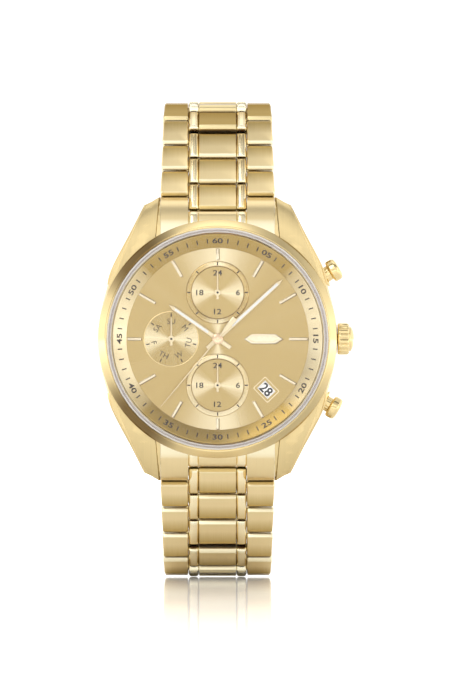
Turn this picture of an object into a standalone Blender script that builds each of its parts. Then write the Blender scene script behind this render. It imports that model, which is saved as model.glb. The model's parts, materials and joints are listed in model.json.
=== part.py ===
"""Chronograph wristwatch: a 42 mm case on a tapering steel bracelet with a folding clasp.

Frame: millimetres while a piece is built, metres once it is finished. The origin is the middle of
the case back's outer face. +X points to 3 o'clock, +Z to 12 o'clock, and the dial faces -Y, so a
height above the case back ("h" below) is -Y. The bracelet is closed, as it is on a wrist.
"""

import math

import bmesh
import bpy
from mathutils import Matrix, Vector

MM = 0.001

# ---- Counts and clearances -----------------------------------------------------------------------
HEAD_SEGMENTS = 48
SUBDIAL_SEGMENTS = 36
SMALL_SEGMENTS = 16
PIN_SEGMENTS = 8
BEYOND = 3.0                    # how far a cutter runs past what it cuts
FIT = 0.1                       # running and sliding clearance, radial
SEAT = 0.05                     # gap left between pieces that rest on each other
BAR_PHASE = 4.0                 # how far round bars are turned about their axes, degrees
FLAT_ANGLE = 0.002              # faces closer than this to one plane are merged, radians

# ---- Driving sizes: everything that fits to them takes its size and place from them ---------------
CASE_RADIUS = 21.2
LUG_GAP = 20.2
CAVITY_WALL = 2.5
CASE_BOTTOM = 1.0
PLATE_LOW = 3.4
PLATE_HIGH = 6.0
DIAL_RISE = 1.2                 # from the movement plate to the dial's face
CASE_RISE = 1.0                 # from the dial's face to the case's top
BEZEL_RISE = 2.05

# ---- Case ------------------------------------------------------------------------------------
CASE_ARC_RADIUS = CASE_RADIUS - 0.3         # the case between the lugs
CAVITY_RADIUS = CASE_RADIUS - CAVITY_WALL
CAVITY_FLOOR = PLATE_LOW - 0.75
CAVITY_FIRST_WALL = 1.0         # the control bores start this far inside the cavity's wall
DIAL_TOP = PLATE_HIGH + DIAL_RISE
CASE_TOP = DIAL_TOP + CASE_RISE
CASE_BLANK_LOW = 0.2            # the blank the side's outline is cut from
CASE_BLANK_TOP = CASE_TOP + 0.3
CASE_FLANK_LOW = 2.6
CASE_FLANK_HIGH = CASE_TOP - 1.8
CASE_LOW_INSET = 1.0
CASE_TOP_INSET = 0.35
LUG_REACH = CASE_RADIUS + 3.85  # half the length from lug tip to lug tip
LUG_SHOULDER = LUG_REACH - 11.05            # where the lugs start to fall away from the case top
LUG_TIP_TOP = 3.3
LUG_TIP_LOW = 0.9
LUG_TIP_CORNER = (2.8, 1.35)    # the tip's outer corner: out from the gap, back from the tip
LUG_NECK = ((3.77, 36.2), (2.85, 40.4))     # (outside the case radius, clock angle) of its outline
LUG_UNDERSIDE = ((0.9, 0.3), (3.2, 0.5))    # (back from the tip, height) of the lug's lower edge
UNDERSIDE_INSET = 2.5           # from the case's arc to the flat underside
FLANK_START = 51                # clock angle of the flank's first point, degrees
FLANK_STEPS = 8
FLANK_SWELL = (1.75, 49, 13)    # height, clock angle and width of the flank's swell into the lug
ARC_STEPS = 4
LUG_STEPS = 8

# ---- Case back -------------------------------------------------------------------------------
BACK_BORE_RADIUS = CAVITY_RADIUS - 2.7
BACK_RADIUS = BACK_BORE_RADIUS + 1.6
BACK_PLATE = 0.8
BACK_EDGE_BEVEL = 0.25
BACK_BOSS_WALL = 1.0
BACK_BOSS_TOP = CAVITY_FLOOR - 0.25
BACK_KEYS = 6
BACK_KEY_SIZE = (1.0, 1.8, 0.4)
BACK_GASKET_WIDTH = 0.6
BACK_GASKET_HEIGHT = 0.5
BACK_GASKET_LAND = 0.25         # metal between the back's bore and the gasket's groove

# ---- Bezel, crystal, chapter ring and dial ------------------------------------------------------
BEZEL_RADIUS = CASE_RADIUS - 0.1
BEZEL_TOP_OUTER = BEZEL_RADIUS - 1.15
BEZEL_TOP = CASE_TOP + BEZEL_RISE
BEZEL_EDGE = 0.4
BEZEL_EDGE_INSET = 0.1
CRYSTAL_RADIUS = BEZEL_RADIUS - 1.8
BEZEL_LIP_RADIUS = CRYSTAL_RADIUS - 0.45
BEZEL_LIP = 0.4
CRYSTAL_THICKNESS = 1.9
CRYSTAL_BEVEL = (0.6, 0.5)
CRYSTAL_GASKET_WALL = 0.25
CRYSTAL_GASKET_FOOT = 0.2
CRYSTAL_GASKET_TOP = BEZEL_TOP - 0.2
CHAPTER_INNER = CAVITY_RADIUS - 2.6
CHAPTER_TOP_WIDTH = 0.2
CHAPTER_HEIGHT = CASE_RISE + 0.35
CHAPTER_INNER_HEIGHT = 0.25
DIAL_THICKNESS = 0.4
SUBDIAL_OFFSET = 8.2
SUBDIAL_RING = (4.63, 5.55)
SUBDIAL_RING_HEIGHT = 0.2
SUBDIAL_RING_SLOPES = (0.25, 0.1)           # how far the ring's inner and outer faces lean
DAY_DIAL_RADIUS = 4.78
DAY_DIAL_DEPTH = 0.15
DATE_RADIUS = 12.45
DATE_ANGLE = 136.2              # clockwise from 12 o'clock, degrees
DATE_WINDOW = (2.7, 2.0)

# ---- Hands: each one's height is above the dial ---------------------------------------------------
HOUR_HAND = {"angle": 304.8, "reach": 10.5, "tail": 2.8, "width": 0.8, "rise": 0.6,
             "plate": 0.15}
MINUTE_HAND = {"angle": 47.5, "reach": 15.5, "tail": 2.5, "width": 0.8, "rise": 0.92,
               "plate": 0.15}
CHRONO_HAND = {"angle": 220.0, "reach": 15.6, "tail": 4.8, "width": 0.3, "rise": 1.22,
               "plate": 0.12}
SUB_HAND = {"angle": 0.0, "reach": 3.9, "tail": 1.2, "width": 0.34, "rise": 0.25, "plate": 0.12}
CHRONO_TAIL_WIDTH = 0.9
ARBOR_RADIUS = 0.2
MINUTE_TUBE = (ARBOR_RADIUS + FIT, ARBOR_RADIUS + 0.25)      # inner and outer radius
HOUR_TUBE = (MINUTE_TUBE[1] + FIT, MINUTE_TUBE[1] + 0.3)
CENTRE_HOLE = HOUR_TUBE[1] + FIT
SUB_HUB_RADIUS = 0.6
ARBOR_BELOW_DIAL = 0.3
MAIN_HUB_RIM = 0.45             # the hub's disc reaches this far past its tube
CHRONO_HUB = (0.8, 0.5)         # the cap's lower and upper radii
CHRONO_CAP = 0.1                # height of the cap above the long hand
HAND_OVERLAP = 0.02             # how deep a hub runs into its plate
HUB_PROUD = 0.03
HAND_SHOULDER = 1.2             # from the shoulder of a main hand to its point
CHRONO_WAIST = 0.9
CHRONO_TAPER = 4.0              # from where the long hand starts to narrow to its point
TAIL_SCALE = 0.8                # width of a main hand's tail against its middle
SUB_SCALES = (1.5, 1.2)         # widths of a small hand's tail and middle against its tip

# ---- Movement --------------------------------------------------------------------------------
HOLDER_RADIUS = CAVITY_RADIUS - 1.3
HOLDER_FLANGE = 0.6
HOLDER_INNER = HOLDER_RADIUS - 2.1
DATE_DISC = (HOLDER_INNER - 4.9, HOLDER_INNER - 0.3)
DATE_DISC_THICKNESS = 0.45
BOARD_RADIUS = HOLDER_INNER - 0.7
BOARD_THICKNESS = 0.4
BATTERY_RADIUS = 4.75
BATTERY_THICKNESS = 2.7
BATTERY_AT = (-6.2, -6.6)
BATTERY_TOP = PLATE_LOW + 2.1
BATTERY_STEP = (0.8, 0.6, 0.3)  # inner and outer inset and height of the cell's lower step
CLAMP_SIZE = (13.0, 3.2, 0.25)
CLAMP_TURN = 40                 # degrees about the battery's axis
CLAMP_SCREW = (0.9, 0.3, 1.2)   # radius, head height, distance from the clamp's end
COIL_AT = (4.6, -9.4)
COIL_LENGTH = 8.0
COIL_RADIUS = 0.85
COIL_CHEEK = (1.1, 0.8)
COIL_H = PLATE_LOW + 1.2

# ---- Crown and pushers -------------------------------------------------------------------------
CONTROL_H = PLATE_LOW + 1.2     # height of the crown and pusher axes
CROWN_START = CASE_RADIUS + 0.25
CROWN_RADIUS = 2.9
CROWN_FLUTES = 14
CROWN_FLUTE_DEPTH = 0.22
CROWN_GRIP = 1.85
CROWN_DOME = 0.9
CROWN_BORE_DEPTH = 1.0
CROWN_EDGE = (0.2, 0.2)         # run and drop of the edge at the case
CROWN_SHOULDER = (0.25, 0.35)   # run and drop of the edge at the dome
CROWN_DOME_RADII = (2.35, 1.75, 0.6)
CROWN_DOME_MIDDLE = 0.55        # share of the dome's height at its middle radius
SHOULDER_FLUTING = 0.4          # how much of the flutes' depth is left at the shoulder
STEM_RADIUS = 0.45
STEM_START = 8.6
STEM_IN_CROWN = 1.7
STEM_GROOVE = (STEM_RADIUS - 0.17, 10.7, 0.6)
CROWN_TUBE_RADIUS = STEM_RADIUS + FIT + 0.4
CROWN_TUBE_START = CAVITY_RADIUS - 0.3
CROWN_TUBE_END = CROWN_START + 0.5
LEVER_SIZE = (0.4, 2.2, 1.3)
LEVER_RISE = 0.2
STEM_SLOT_WIDTH = LEVER_SIZE[1] + 0.6
STEM_SLOT_END = 0.6             # past the stem's inner end
STEM_SLOT_RISE = 1.0            # above the stem's axis

PUSHER_ANGLE = 30.6             # above and below 3 o'clock
PUSHER_STROKE = 0.8
PUSHER_BARREL_RADIUS = 1.33
PUSHER_BARREL_HELD = 0.2
PUSHER_CAP_RADIUS = PUSHER_BARREL_RADIUS + 0.67
PUSHER_CAP_THICKNESS = 1.85
PUSHER_CAP_BACK_EDGE = (0.15, 0.2)
PUSHER_CAP_ROUNDING = ((0.0, 0.5), (0.3, 0.15), (0.8, 0.0))    # (inset, below the face)
PUSHER_STEM_RADIUS = 0.7
PUSHER_STEM_START = CAVITY_RADIUS - 0.1
COLLAR_FACE = CASE_RADIUS + 0.95
COLLAR_FLANGE = 0.5
COLLAR_TUBE_RADIUS = PUSHER_BARREL_RADIUS + FIT + 0.32
COLLAR_FLANGE_RADIUS = COLLAR_TUBE_RADIUS + 0.4
COLLAR_START = CAVITY_RADIUS + 0.2
COLLAR_EDGE = 0.2
PUSHER_CAP_FACE = COLLAR_FACE + PUSHER_STROKE + 0.15 + PUSHER_CAP_THICKNESS

# ---- Bracelet --------------------------------------------------------------------------------
PITCH = 4.9                     # from hinge to hinge
FIRST_HINGE = (1.5, LUG_REACH - 1.25)       # height, distance from the dial's centre line
CLOSED_BENDS = (21, 1.5, 2.5, 28, 32, 29, 25, 15, 9, 7, 6)   # degrees, from the case to the clasp
BRACELET_WIDTH = LUG_GAP - 0.1  # over the first row
TAPER = 0.33                    # each row is narrower than the last by this
CENTRE_WIDTH = BRACELET_WIDTH - 9.8
SIDE_GAP = 0.15
LINK_TOP = 1.4                  # outer face above the hinge line
LINK_LOW = 1.2                  # inner face below the hinge line
CENTRE_BACK = 1.2               # the centre piece starts this far behind its own hinge
OUTER_BACK = 1.15               # the outer pieces end this far past the next hinge
ROW_GAP = 0.2
CENTRE_SPAN = (-CENTRE_BACK, PITCH - CENTRE_BACK - ROW_GAP)
OUTER_SPAN = (OUTER_BACK + ROW_GAP, PITCH + OUTER_BACK)
LINK_BEVEL = (0.45, 0.35)
LINK_RELIEF = 0.4
LINK_RELIEF_AT = 0.2
LINK_BAR_AT = PITCH / 2 - 0.05
PIN_RADIUS = 0.4
PIN_COVER = 0.6                 # metal left between a pin's end and the bracelet's side
END_LINK_WIDTH = LUG_GAP - 0.2
END_LINK_DROP = 0.15            # below the lugs' upper faces
END_LINK_START = 30             # where its top leaves the lug's curve, degrees along it
END_LINK_STEPS = 6
END_LINK_EDGE = 0.6
END_LINK_FOOT = (3.0, 0.4)      # inside the case's arc, above the lowest face
SPRING_BAR_AT = (3.6, LUG_REACH - 3.15)     # height, distance from the dial's centre line
SPRING_BAR_RADIUS = 0.5
SPRING_BAR_TIP = (0.35, 1.2)

# ---- Clasp: v runs from the 12 o'clock hinge to the 6 o'clock one, n points away from the wrist ----
CLASP_BULGE = 1.0
COVER_WIDTH = BRACELET_WIDTH - TAPER * len(CLOSED_BENDS) + 0.13
COVER_WALL = 0.9
COVER_PLATE = (0.9, 1.9)
COVER_EDGE = 0.35
COVER_STEPS = 8
COVER_WALL_LOW = -1.7
COVER_START = 1.6
COVER_END_GAP = 3.25            # from the cover's end to the last hinge of the other half
COVER_TONGUE = (-1.1, 2.6)
COVER_TONGUE_HALF = 1.1
COVER_HINGE = (4.45, 0.05)      # (v back from the other half's last hinge, n)
BLADE_HINGE = (5.0, -0.9)       # (v, n)
EYE_RADIUS = PIN_RADIUS + 0.35
OUTER_BLADE_WIDTH = COVER_WIDTH - 5.6
OUTER_BLADE = (-0.05, 0.75)
OUTER_BLADE_EAR = 1.1
OUTER_BLADE_EAR_SPAN = (4.2, 5.8)
OUTER_BLADE_EAR_LOW = -1.6
OUTER_BLADE_EAR_DROP = 0.2
BLADE_STEPS = 6
BLADE_PIN_RADIUS = PIN_RADIUS - 0.05
INNER_BLADE = (-1.6, -0.85)
INNER_BLADE_END_GAP = 0.8       # from the open hinge's middle to the blade's end
BUTTON_BACK = 9.95              # v back from the other half's last hinge
BUTTON_SIZE = (3.0, 1.4)
BUTTON_N = -0.2
BUTTON_FLANGE = 0.35
BUTTON_FLANGE_THICKNESS = 0.6
BUTTON_PROUD = 0.7

MATERIALS = {
    "polished_gold": ((0.83, 0.67, 0.40), 1.0, 0.12),
    "brushed_gold": ((0.80, 0.64, 0.38), 1.0, 0.32),
    "dial_gold": ((0.86, 0.73, 0.47), 1.0, 0.38),
    "glass": ((0.95, 0.96, 0.97), 0.0, 0.03),
    "gasket": ((0.75, 0.72, 0.68), 0.0, 0.6),
    "steel": ((0.62, 0.62, 0.60), 1.0, 0.3),
    "white_print": ((0.92, 0.92, 0.90), 0.0, 0.5),
    "plastic": ((0.12, 0.12, 0.13), 0.0, 0.5),
    "board": ((0.05, 0.22, 0.12), 0.0, 0.45),
    "copper": ((0.72, 0.38, 0.22), 1.0, 0.35),
}


# ---- Building tools ----------------------------------------------------------------------------
def clear_scene():
    for obj in list(bpy.data.objects):
        bpy.data.objects.remove(obj, do_unlink=True)


def material(name):
    made = bpy.data.materials.get(name)
    if made:
        return made
    colour, metallic, roughness = MATERIALS[name]
    made = bpy.data.materials.new(name)
    made.use_nodes = True
    shader = made.node_tree.nodes["Principled BSDF"]
    shader.inputs["Base Color"].default_value = (*colour, 1.0)
    shader.inputs["Metallic"].default_value = metallic
    shader.inputs["Roughness"].default_value = roughness
    made.diffuse_color = (*colour, 1.0)
    return made


def face_outwards(bm):
    bmesh.ops.recalc_face_normals(bm, faces=bm.faces)
    if bm.calc_volume(signed=True) < 0:
        bmesh.ops.reverse_faces(bm, faces=bm.faces)


def as_object(bm, name="piece"):
    """A scene object from a closed bmesh, its faces turned outwards."""
    face_outwards(bm)
    mesh = bpy.data.meshes.new(name)
    bm.to_mesh(mesh)
    bm.free()
    obj = bpy.data.objects.new(name, mesh)
    bpy.context.scene.collection.objects.link(obj)
    return obj


def turned(profile, base=(0, 0, 0), direction=(0, -1, 0), segments=HEAD_SEGMENTS):
    """A solid turned about an axis. The profile lists (radius, distance along the axis); one that
    starts and ends on the axis is a full body, any other closes on itself as a ring."""
    bm = bmesh.new()
    verts = [bm.verts.new((radius, 0, along)) for radius, along in profile]
    on_axis = profile[0][0] == 0 and profile[-1][0] == 0
    last = len(verts) - 1 if on_axis else len(verts)
    edges = [bm.edges.new((verts[i], verts[(i + 1) % len(verts)])) for i in range(last)]
    bmesh.ops.spin(bm, geom=verts + edges, cent=(0, 0, 0), axis=(0, 0, 1),
                   angle=2 * math.pi, steps=segments, use_merge=True)
    bmesh.ops.remove_doubles(bm, verts=bm.verts, dist=1e-4)
    turn = Vector(direction).to_track_quat("Z", "Y").to_matrix().to_4x4()
    bm.transform(Matrix.Translation(base) @ turn)
    return as_object(bm)


def cylinder(radius, start, end, segments=PIN_SEGMENTS):
    """A round bar between two points. It is turned a little about its axis, so that its corners
    miss the edges of what it meets."""
    start, axis = Vector(start), Vector(end) - Vector(start)
    profile = [(0, 0), (radius, 0), (radius, axis.length), (0, axis.length)]
    bar = turned(profile, start, axis, segments)
    turn = Matrix.Rotation(math.radians(BAR_PHASE), 4, axis)
    bar.data.transform(Matrix.Translation(start) @ turn @ Matrix.Translation(-start))
    return bar


def extruded(outline, origin, first, second, low, high):
    """An outline in the plane of two unit axes at a point, extruded along their cross product."""
    origin, first, second = Vector(origin), Vector(first), Vector(second)
    normal = first.cross(second)
    bm = bmesh.new()
    verts = [bm.verts.new(origin + a * first + b * second + low * normal) for a, b in outline]
    face = bm.faces.new(verts)
    grown = bmesh.ops.extrude_face_region(bm, geom=[face])
    moved = [item for item in grown["geom"] if isinstance(item, bmesh.types.BMVert)]
    bmesh.ops.translate(bm, verts=moved, vec=(high - low) * normal)
    return as_object(bm)


def lofted(sections):
    """A solid through sections with equal numbers of points, closed by a flat face at each end."""
    bm = bmesh.new()
    loops = [[bm.verts.new(point) for point in section] for section in sections]
    count = len(loops[0])
    for lower, upper in zip(loops, loops[1:]):
        for i in range(count):
            j = (i + 1) % count
            bm.faces.new((lower[i], lower[j], upper[j], upper[i]))
    bm.faces.new(loops[0])
    bm.faces.new(loops[-1])
    return as_object(bm)


def box(low, high):
    (x0, y0, z0), (x1, y1, z1) = low, high
    corners = [[(x0, y, z0), (x1, y, z0), (x1, y, z1), (x0, y, z1)] for y in (y0, y1)]
    return lofted(corners)


def with_mesh(obj, change):
    """Runs a bmesh change on an object's mesh."""
    bm = bmesh.new()
    bm.from_mesh(obj.data)
    change(bm)
    bm.to_mesh(obj.data)
    bm.free()


def split_faces(bm):
    bmesh.ops.triangulate(bm, faces=bm.faces)


def merge_flat_faces(bm):
    bmesh.ops.dissolve_limit(bm, angle_limit=FLAT_ANGLE, verts=bm.verts, edges=bm.edges)


def combined(target, other, operation):
    """The target joined with, cut by or limited to another body, which is used up. Triangles are
    always flat, so both meshes are split into them first."""
    with_mesh(target, split_faces)
    with_mesh(other, split_faces)
    modifier = target.modifiers.new("combine", "BOOLEAN")
    modifier.operation = operation
    modifier.solver = "EXACT"
    modifier.object = other
    depsgraph = bpy.context.evaluated_depsgraph_get()
    depsgraph.update()
    mesh = bpy.data.meshes.new_from_object(target.evaluated_get(depsgraph))
    target.modifiers.clear()
    target.data = mesh
    bpy.data.objects.remove(other, do_unlink=True)
    return target


def cut(target, *cutters):
    for cutter in cutters:
        combined(target, cutter, "DIFFERENCE")
    return target


def joined(target, *others):
    for other in others:
        combined(target, other, "UNION")
    return target


def finished(obj, name, slot, origin=(0, 0, 0), sharp=35):
    """Names a piece, gives it its material, moves its origin and turns millimetres into metres."""
    with_mesh(obj, merge_flat_faces)
    with_mesh(obj, face_outwards)
    obj.name = name
    obj.data.name = name
    obj.data.materials.clear()
    obj.data.materials.append(material(slot))
    obj.data.transform(Matrix.Scale(MM, 4) @ Matrix.Translation(-Vector(origin)))
    obj.location = Vector(origin) * MM
    obj.data.shade_smooth()
    obj.data.set_sharp_from_angle(angle=math.radians(sharp))
    return obj


def dial_point(radius, clock_angle, h):
    """A point at a clock angle: degrees clockwise from 12, as the dial is read."""
    turn = math.radians(clock_angle)
    return Vector((radius * math.sin(turn), -h, radius * math.cos(turn)))


# ---- Case --------------------------------------------------------------------------------------
def case_outline(inset):
    """The case and its four lugs seen from the front. The inset moves only the outer flanks."""
    half_gap = LUG_GAP / 2
    gap_angle = math.asin(half_gap / CASE_ARC_RADIUS)
    arc = []
    for step in range(1, ARC_STEPS + 1):
        turn = gap_angle * step / ARC_STEPS
        arc.append((CASE_ARC_RADIUS * math.sin(turn), CASE_ARC_RADIUS * math.cos(turn)))
    corner_out, corner_back = LUG_TIP_CORNER
    tip = [(half_gap, LUG_REACH),
           (half_gap + corner_out - inset, LUG_REACH - corner_back - inset / 2)]
    neck = []
    for beyond, degrees in LUG_NECK:
        turn = math.radians(degrees)
        reach = CASE_RADIUS + beyond
        neck.append((reach * math.sin(turn) - inset, reach * math.cos(turn)))
    flank = []
    swell_height, swell_angle, swell_width = FLANK_SWELL
    for step in range(FLANK_STEPS + 1):
        degrees = FLANK_START + (90 - FLANK_START) * step / FLANK_STEPS
        swell = swell_height * math.exp(-((degrees - swell_angle) / swell_width) ** 2)
        reach = CASE_RADIUS + swell - inset
        turn = math.radians(degrees)
        flank.append((reach * math.sin(turn), reach * math.cos(turn)))
    quarter = arc + tip + neck + flank
    right = quarter + [(x, -z) for x, z in reversed(quarter[:-1])]
    left = [(-x, z) for x, z in reversed(right)]
    return [(0.0, CASE_ARC_RADIUS)] + right + [(0.0, -CASE_ARC_RADIUS)] + left


def lug_curve(degrees):
    """A point (distance along Z, height) of the lug's top, a quarter ellipse from its shoulder."""
    turn = math.radians(degrees)
    z = LUG_SHOULDER + (LUG_REACH - LUG_SHOULDER) * math.sin(turn)
    return z, LUG_TIP_TOP + (CASE_TOP - LUG_TIP_TOP) * math.cos(turn)


def side_silhouette():
    """The case and lugs seen from the side, as (distance along Z, height)."""
    upper = [lug_curve(90 * step / LUG_STEPS) for step in range(LUG_STEPS + 1)]
    under = [(LUG_REACH, LUG_TIP_LOW)] + [(LUG_REACH - back, h) for back, h in LUG_UNDERSIDE]
    half = upper + under + [(CASE_ARC_RADIUS - UNDERSIDE_INSET, CASE_BOTTOM)]
    return half + [(-z, h) for z, h in reversed(half)]


def build_case():
    heights = ((CASE_BLANK_LOW, CASE_LOW_INSET), (CASE_FLANK_LOW, 0.0), (CASE_FLANK_HIGH, 0.0),
               (CASE_BLANK_TOP, CASE_TOP_INSET))
    sections = [[(x, -h, z) for x, z in case_outline(inset)] for h, inset in heights]
    case = lofted(sections)
    reach = LUG_REACH + BEYOND
    side = extruded(side_silhouette(), (0, 0, 0), (0, 0, 1), (0, -1, 0), -reach, reach)
    combined(case, side, "INTERSECT")
    mouth = CASE_TOP + BEYOND
    cavity = turned([(0, -BEYOND), (BACK_BORE_RADIUS, -BEYOND), (BACK_BORE_RADIUS, CAVITY_FLOOR),
                     (CAVITY_RADIUS, CAVITY_FLOOR), (CAVITY_RADIUS, mouth), (0, mouth)])
    groove_low = BACK_BORE_RADIUS + BACK_GASKET_LAND
    groove_high = groove_low + BACK_GASKET_WIDTH + 2 * SEAT
    groove_top = CASE_BOTTOM + BACK_GASKET_HEIGHT + SEAT
    groove = turned([(groove_low, -BEYOND), (groove_high, -BEYOND),
                     (groove_high, groove_top), (groove_low, groove_top)])
    cut(case, cavity, groove)
    wall = CAVITY_RADIUS - CAVITY_FIRST_WALL
    seat = COLLAR_FACE - COLLAR_FLANGE - SEAT
    cut(case, control_bore(0, CROWN_TUBE_RADIUS + SEAT, wall))
    for side_of in (1, -1):
        cut(case, control_bore(side_of * PUSHER_ANGLE, COLLAR_TUBE_RADIUS + SEAT, wall),
            control_bore(side_of * PUSHER_ANGLE, COLLAR_FLANGE_RADIUS + FIT, seat))
    bar_h, bar_z = SPRING_BAR_AT
    tip_radius, tip_length = SPRING_BAR_TIP
    for z in (bar_z, -bar_z):
        for x in (1, -1):
            start = (x * (LUG_GAP / 2 - 1), -bar_h, z)
            end = (x * (LUG_GAP / 2 + tip_length + FIT), -bar_h, z)
            cut(case, cylinder(tip_radius + SEAT, start, end, PIN_SEGMENTS))
    finished(case, "case_body", "brushed_gold")


def control_bore(degrees_up, radius, start_radius):
    """A bore from inside the case outwards, at an angle above 3 o'clock."""
    start = dial_point(start_radius, 90 - degrees_up, CONTROL_H)
    end = dial_point(PUSHER_CAP_FACE, 90 - degrees_up, CONTROL_H)
    return cylinder(radius, start, end, SMALL_SEGMENTS)


def build_case_back():
    flange_top = CASE_BOTTOM - SEAT
    boss = BACK_BORE_RADIUS - FIT
    inner = boss - BACK_BOSS_WALL
    back = turned([(0, 0), (BACK_RADIUS - BACK_EDGE_BEVEL, 0), (BACK_RADIUS, BACK_EDGE_BEVEL),
                   (BACK_RADIUS, flange_top), (boss, flange_top), (boss, BACK_BOSS_TOP),
                   (inner, BACK_BOSS_TOP), (inner, BACK_PLATE), (0, BACK_PLATE)])
    deep, wide, tall = BACK_KEY_SIZE
    for key in range(BACK_KEYS):
        turn = Matrix.Rotation(2 * math.pi * (key + 0.5) / BACK_KEYS, 4, "Y")
        notch = box((BACK_RADIUS - deep, -tall, -wide / 2), (BACK_RADIUS + deep, BEYOND, wide / 2))
        notch.data.transform(turn)
        cut(back, notch)
    finished(back, "case_back", "brushed_gold")
    low = BACK_BORE_RADIUS + BACK_GASKET_LAND + SEAT
    bottom = CASE_BOTTOM + SEAT / 2
    high = low + BACK_GASKET_WIDTH
    top = CASE_BOTTOM + BACK_GASKET_HEIGHT
    gasket = turned([(low, bottom), (high, bottom), (high, top), (low, top)])
    finished(gasket, "case_back_gasket", "gasket")


def build_bezel_and_crystal():
    low = CASE_TOP + SEAT
    gasket_outer = CRYSTAL_RADIUS + SEAT + CRYSTAL_GASKET_WALL
    bore = gasket_outer + SEAT
    bezel = turned([(BEZEL_LIP_RADIUS, low), (BEZEL_RADIUS - BEZEL_EDGE_INSET, low),
                    (BEZEL_RADIUS, low + BEZEL_EDGE), (BEZEL_TOP_OUTER, BEZEL_TOP),
                    (bore, BEZEL_TOP), (bore, low + BEZEL_LIP), (BEZEL_LIP_RADIUS, low + BEZEL_LIP)])
    finished(bezel, "bezel", "polished_gold")
    foot = low + BEZEL_LIP + SEAT
    seat = foot + CRYSTAL_GASKET_FOOT
    gasket = turned([(BEZEL_LIP_RADIUS, foot), (gasket_outer, foot),
                     (gasket_outer, CRYSTAL_GASKET_TOP), (CRYSTAL_RADIUS + SEAT, CRYSTAL_GASKET_TOP),
                     (CRYSTAL_RADIUS + SEAT, seat), (BEZEL_LIP_RADIUS, seat)])
    finished(gasket, "crystal_gasket", "gasket")
    under = seat + SEAT
    top = under + CRYSTAL_THICKNESS
    across, down = CRYSTAL_BEVEL
    crystal = turned([(0, under), (CRYSTAL_RADIUS, under), (CRYSTAL_RADIUS, top - down),
                      (CRYSTAL_RADIUS - across, top), (0, top)])
    finished(crystal, "crystal", "glass")


def build_dial():
    low = DIAL_TOP - DIAL_THICKNESS
    above = DIAL_TOP + BEYOND
    below = low - BEYOND
    radius = CAVITY_RADIUS - FIT - SEAT
    hole = CENTRE_HOLE + FIT
    dial = turned([(hole, low), (radius, low), (radius, DIAL_TOP), (hole, DIAL_TOP)])
    for x, z in ((0, SUBDIAL_OFFSET), (0, -SUBDIAL_OFFSET), (-SUBDIAL_OFFSET, 0)):
        cut(dial, cylinder(ARBOR_RADIUS + FIT, (x, -below, z), (x, -above, z), SMALL_SEGMENTS // 2))
    deep, wide = DATE_WINDOW
    window = box((-wide / 2, -above, DATE_RADIUS - deep / 2),
                 (wide / 2, -below, DATE_RADIUS + deep / 2))
    window.data.transform(Matrix.Rotation(math.radians(DATE_ANGLE), 4, "Y"))
    day_floor = DIAL_TOP - DAY_DIAL_DEPTH
    well = turned([(0, day_floor), (DAY_DIAL_RADIUS, day_floor), (DAY_DIAL_RADIUS, above),
                   (0, above)], (-SUBDIAL_OFFSET, 0, 0), segments=SUBDIAL_SEGMENTS)
    cut(dial, well, window)
    inner, outer = SUBDIAL_RING
    inner_slope, outer_slope = SUBDIAL_RING_SLOPES
    rim_top = DIAL_TOP + SUBDIAL_RING_HEIGHT
    foot = DIAL_TOP - DIAL_THICKNESS / 2
    for z in (SUBDIAL_OFFSET, -SUBDIAL_OFFSET):
        rim = turned([(inner, foot), (outer, foot), (outer - outer_slope, rim_top),
                      (inner + inner_slope, rim_top)], (0, 0, z), segments=SUBDIAL_SEGMENTS)
        joined(dial, rim)
    finished(dial, "dial", "dial_gold")
    base = DIAL_TOP + SEAT
    ring_radius = CAVITY_RADIUS - FIT
    ring_top = base + CHAPTER_HEIGHT
    chapter = turned([(CHAPTER_INNER, base), (ring_radius, base), (ring_radius, ring_top),
                      (ring_radius - CHAPTER_TOP_WIDTH, ring_top),
                      (CHAPTER_INNER, base + CHAPTER_INNER_HEIGHT)])
    finished(chapter, "chapter_ring", "dial_gold")


# ---- Hands -------------------------------------------------------------------------------------
def hand_height(shape):
    return DIAL_TOP + shape["rise"]


def hand_plate(shape, outline):
    """A flat hand, its outline given as (half width, distance from its axis) up its right side."""
    right = list(outline)
    left = [(-across, along) for across, along in reversed(outline) if across > 0]
    return extruded(right + left, (0, -hand_height(shape), 0), (1, 0, 0), (0, 0, 1), 0, shape["plate"])


def set_hand(hand, name, shape, centre, slot="polished_gold"):
    """Turns a finished hand to its clock angle and puts its origin on its arbor."""
    hand.data.transform(Matrix.Rotation(math.radians(shape["angle"]), 4, "Y"))
    hand.data.transform(Matrix.Translation(centre))
    finished(hand, name, slot, (centre[0], -hand_height(shape), centre[2]))


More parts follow.
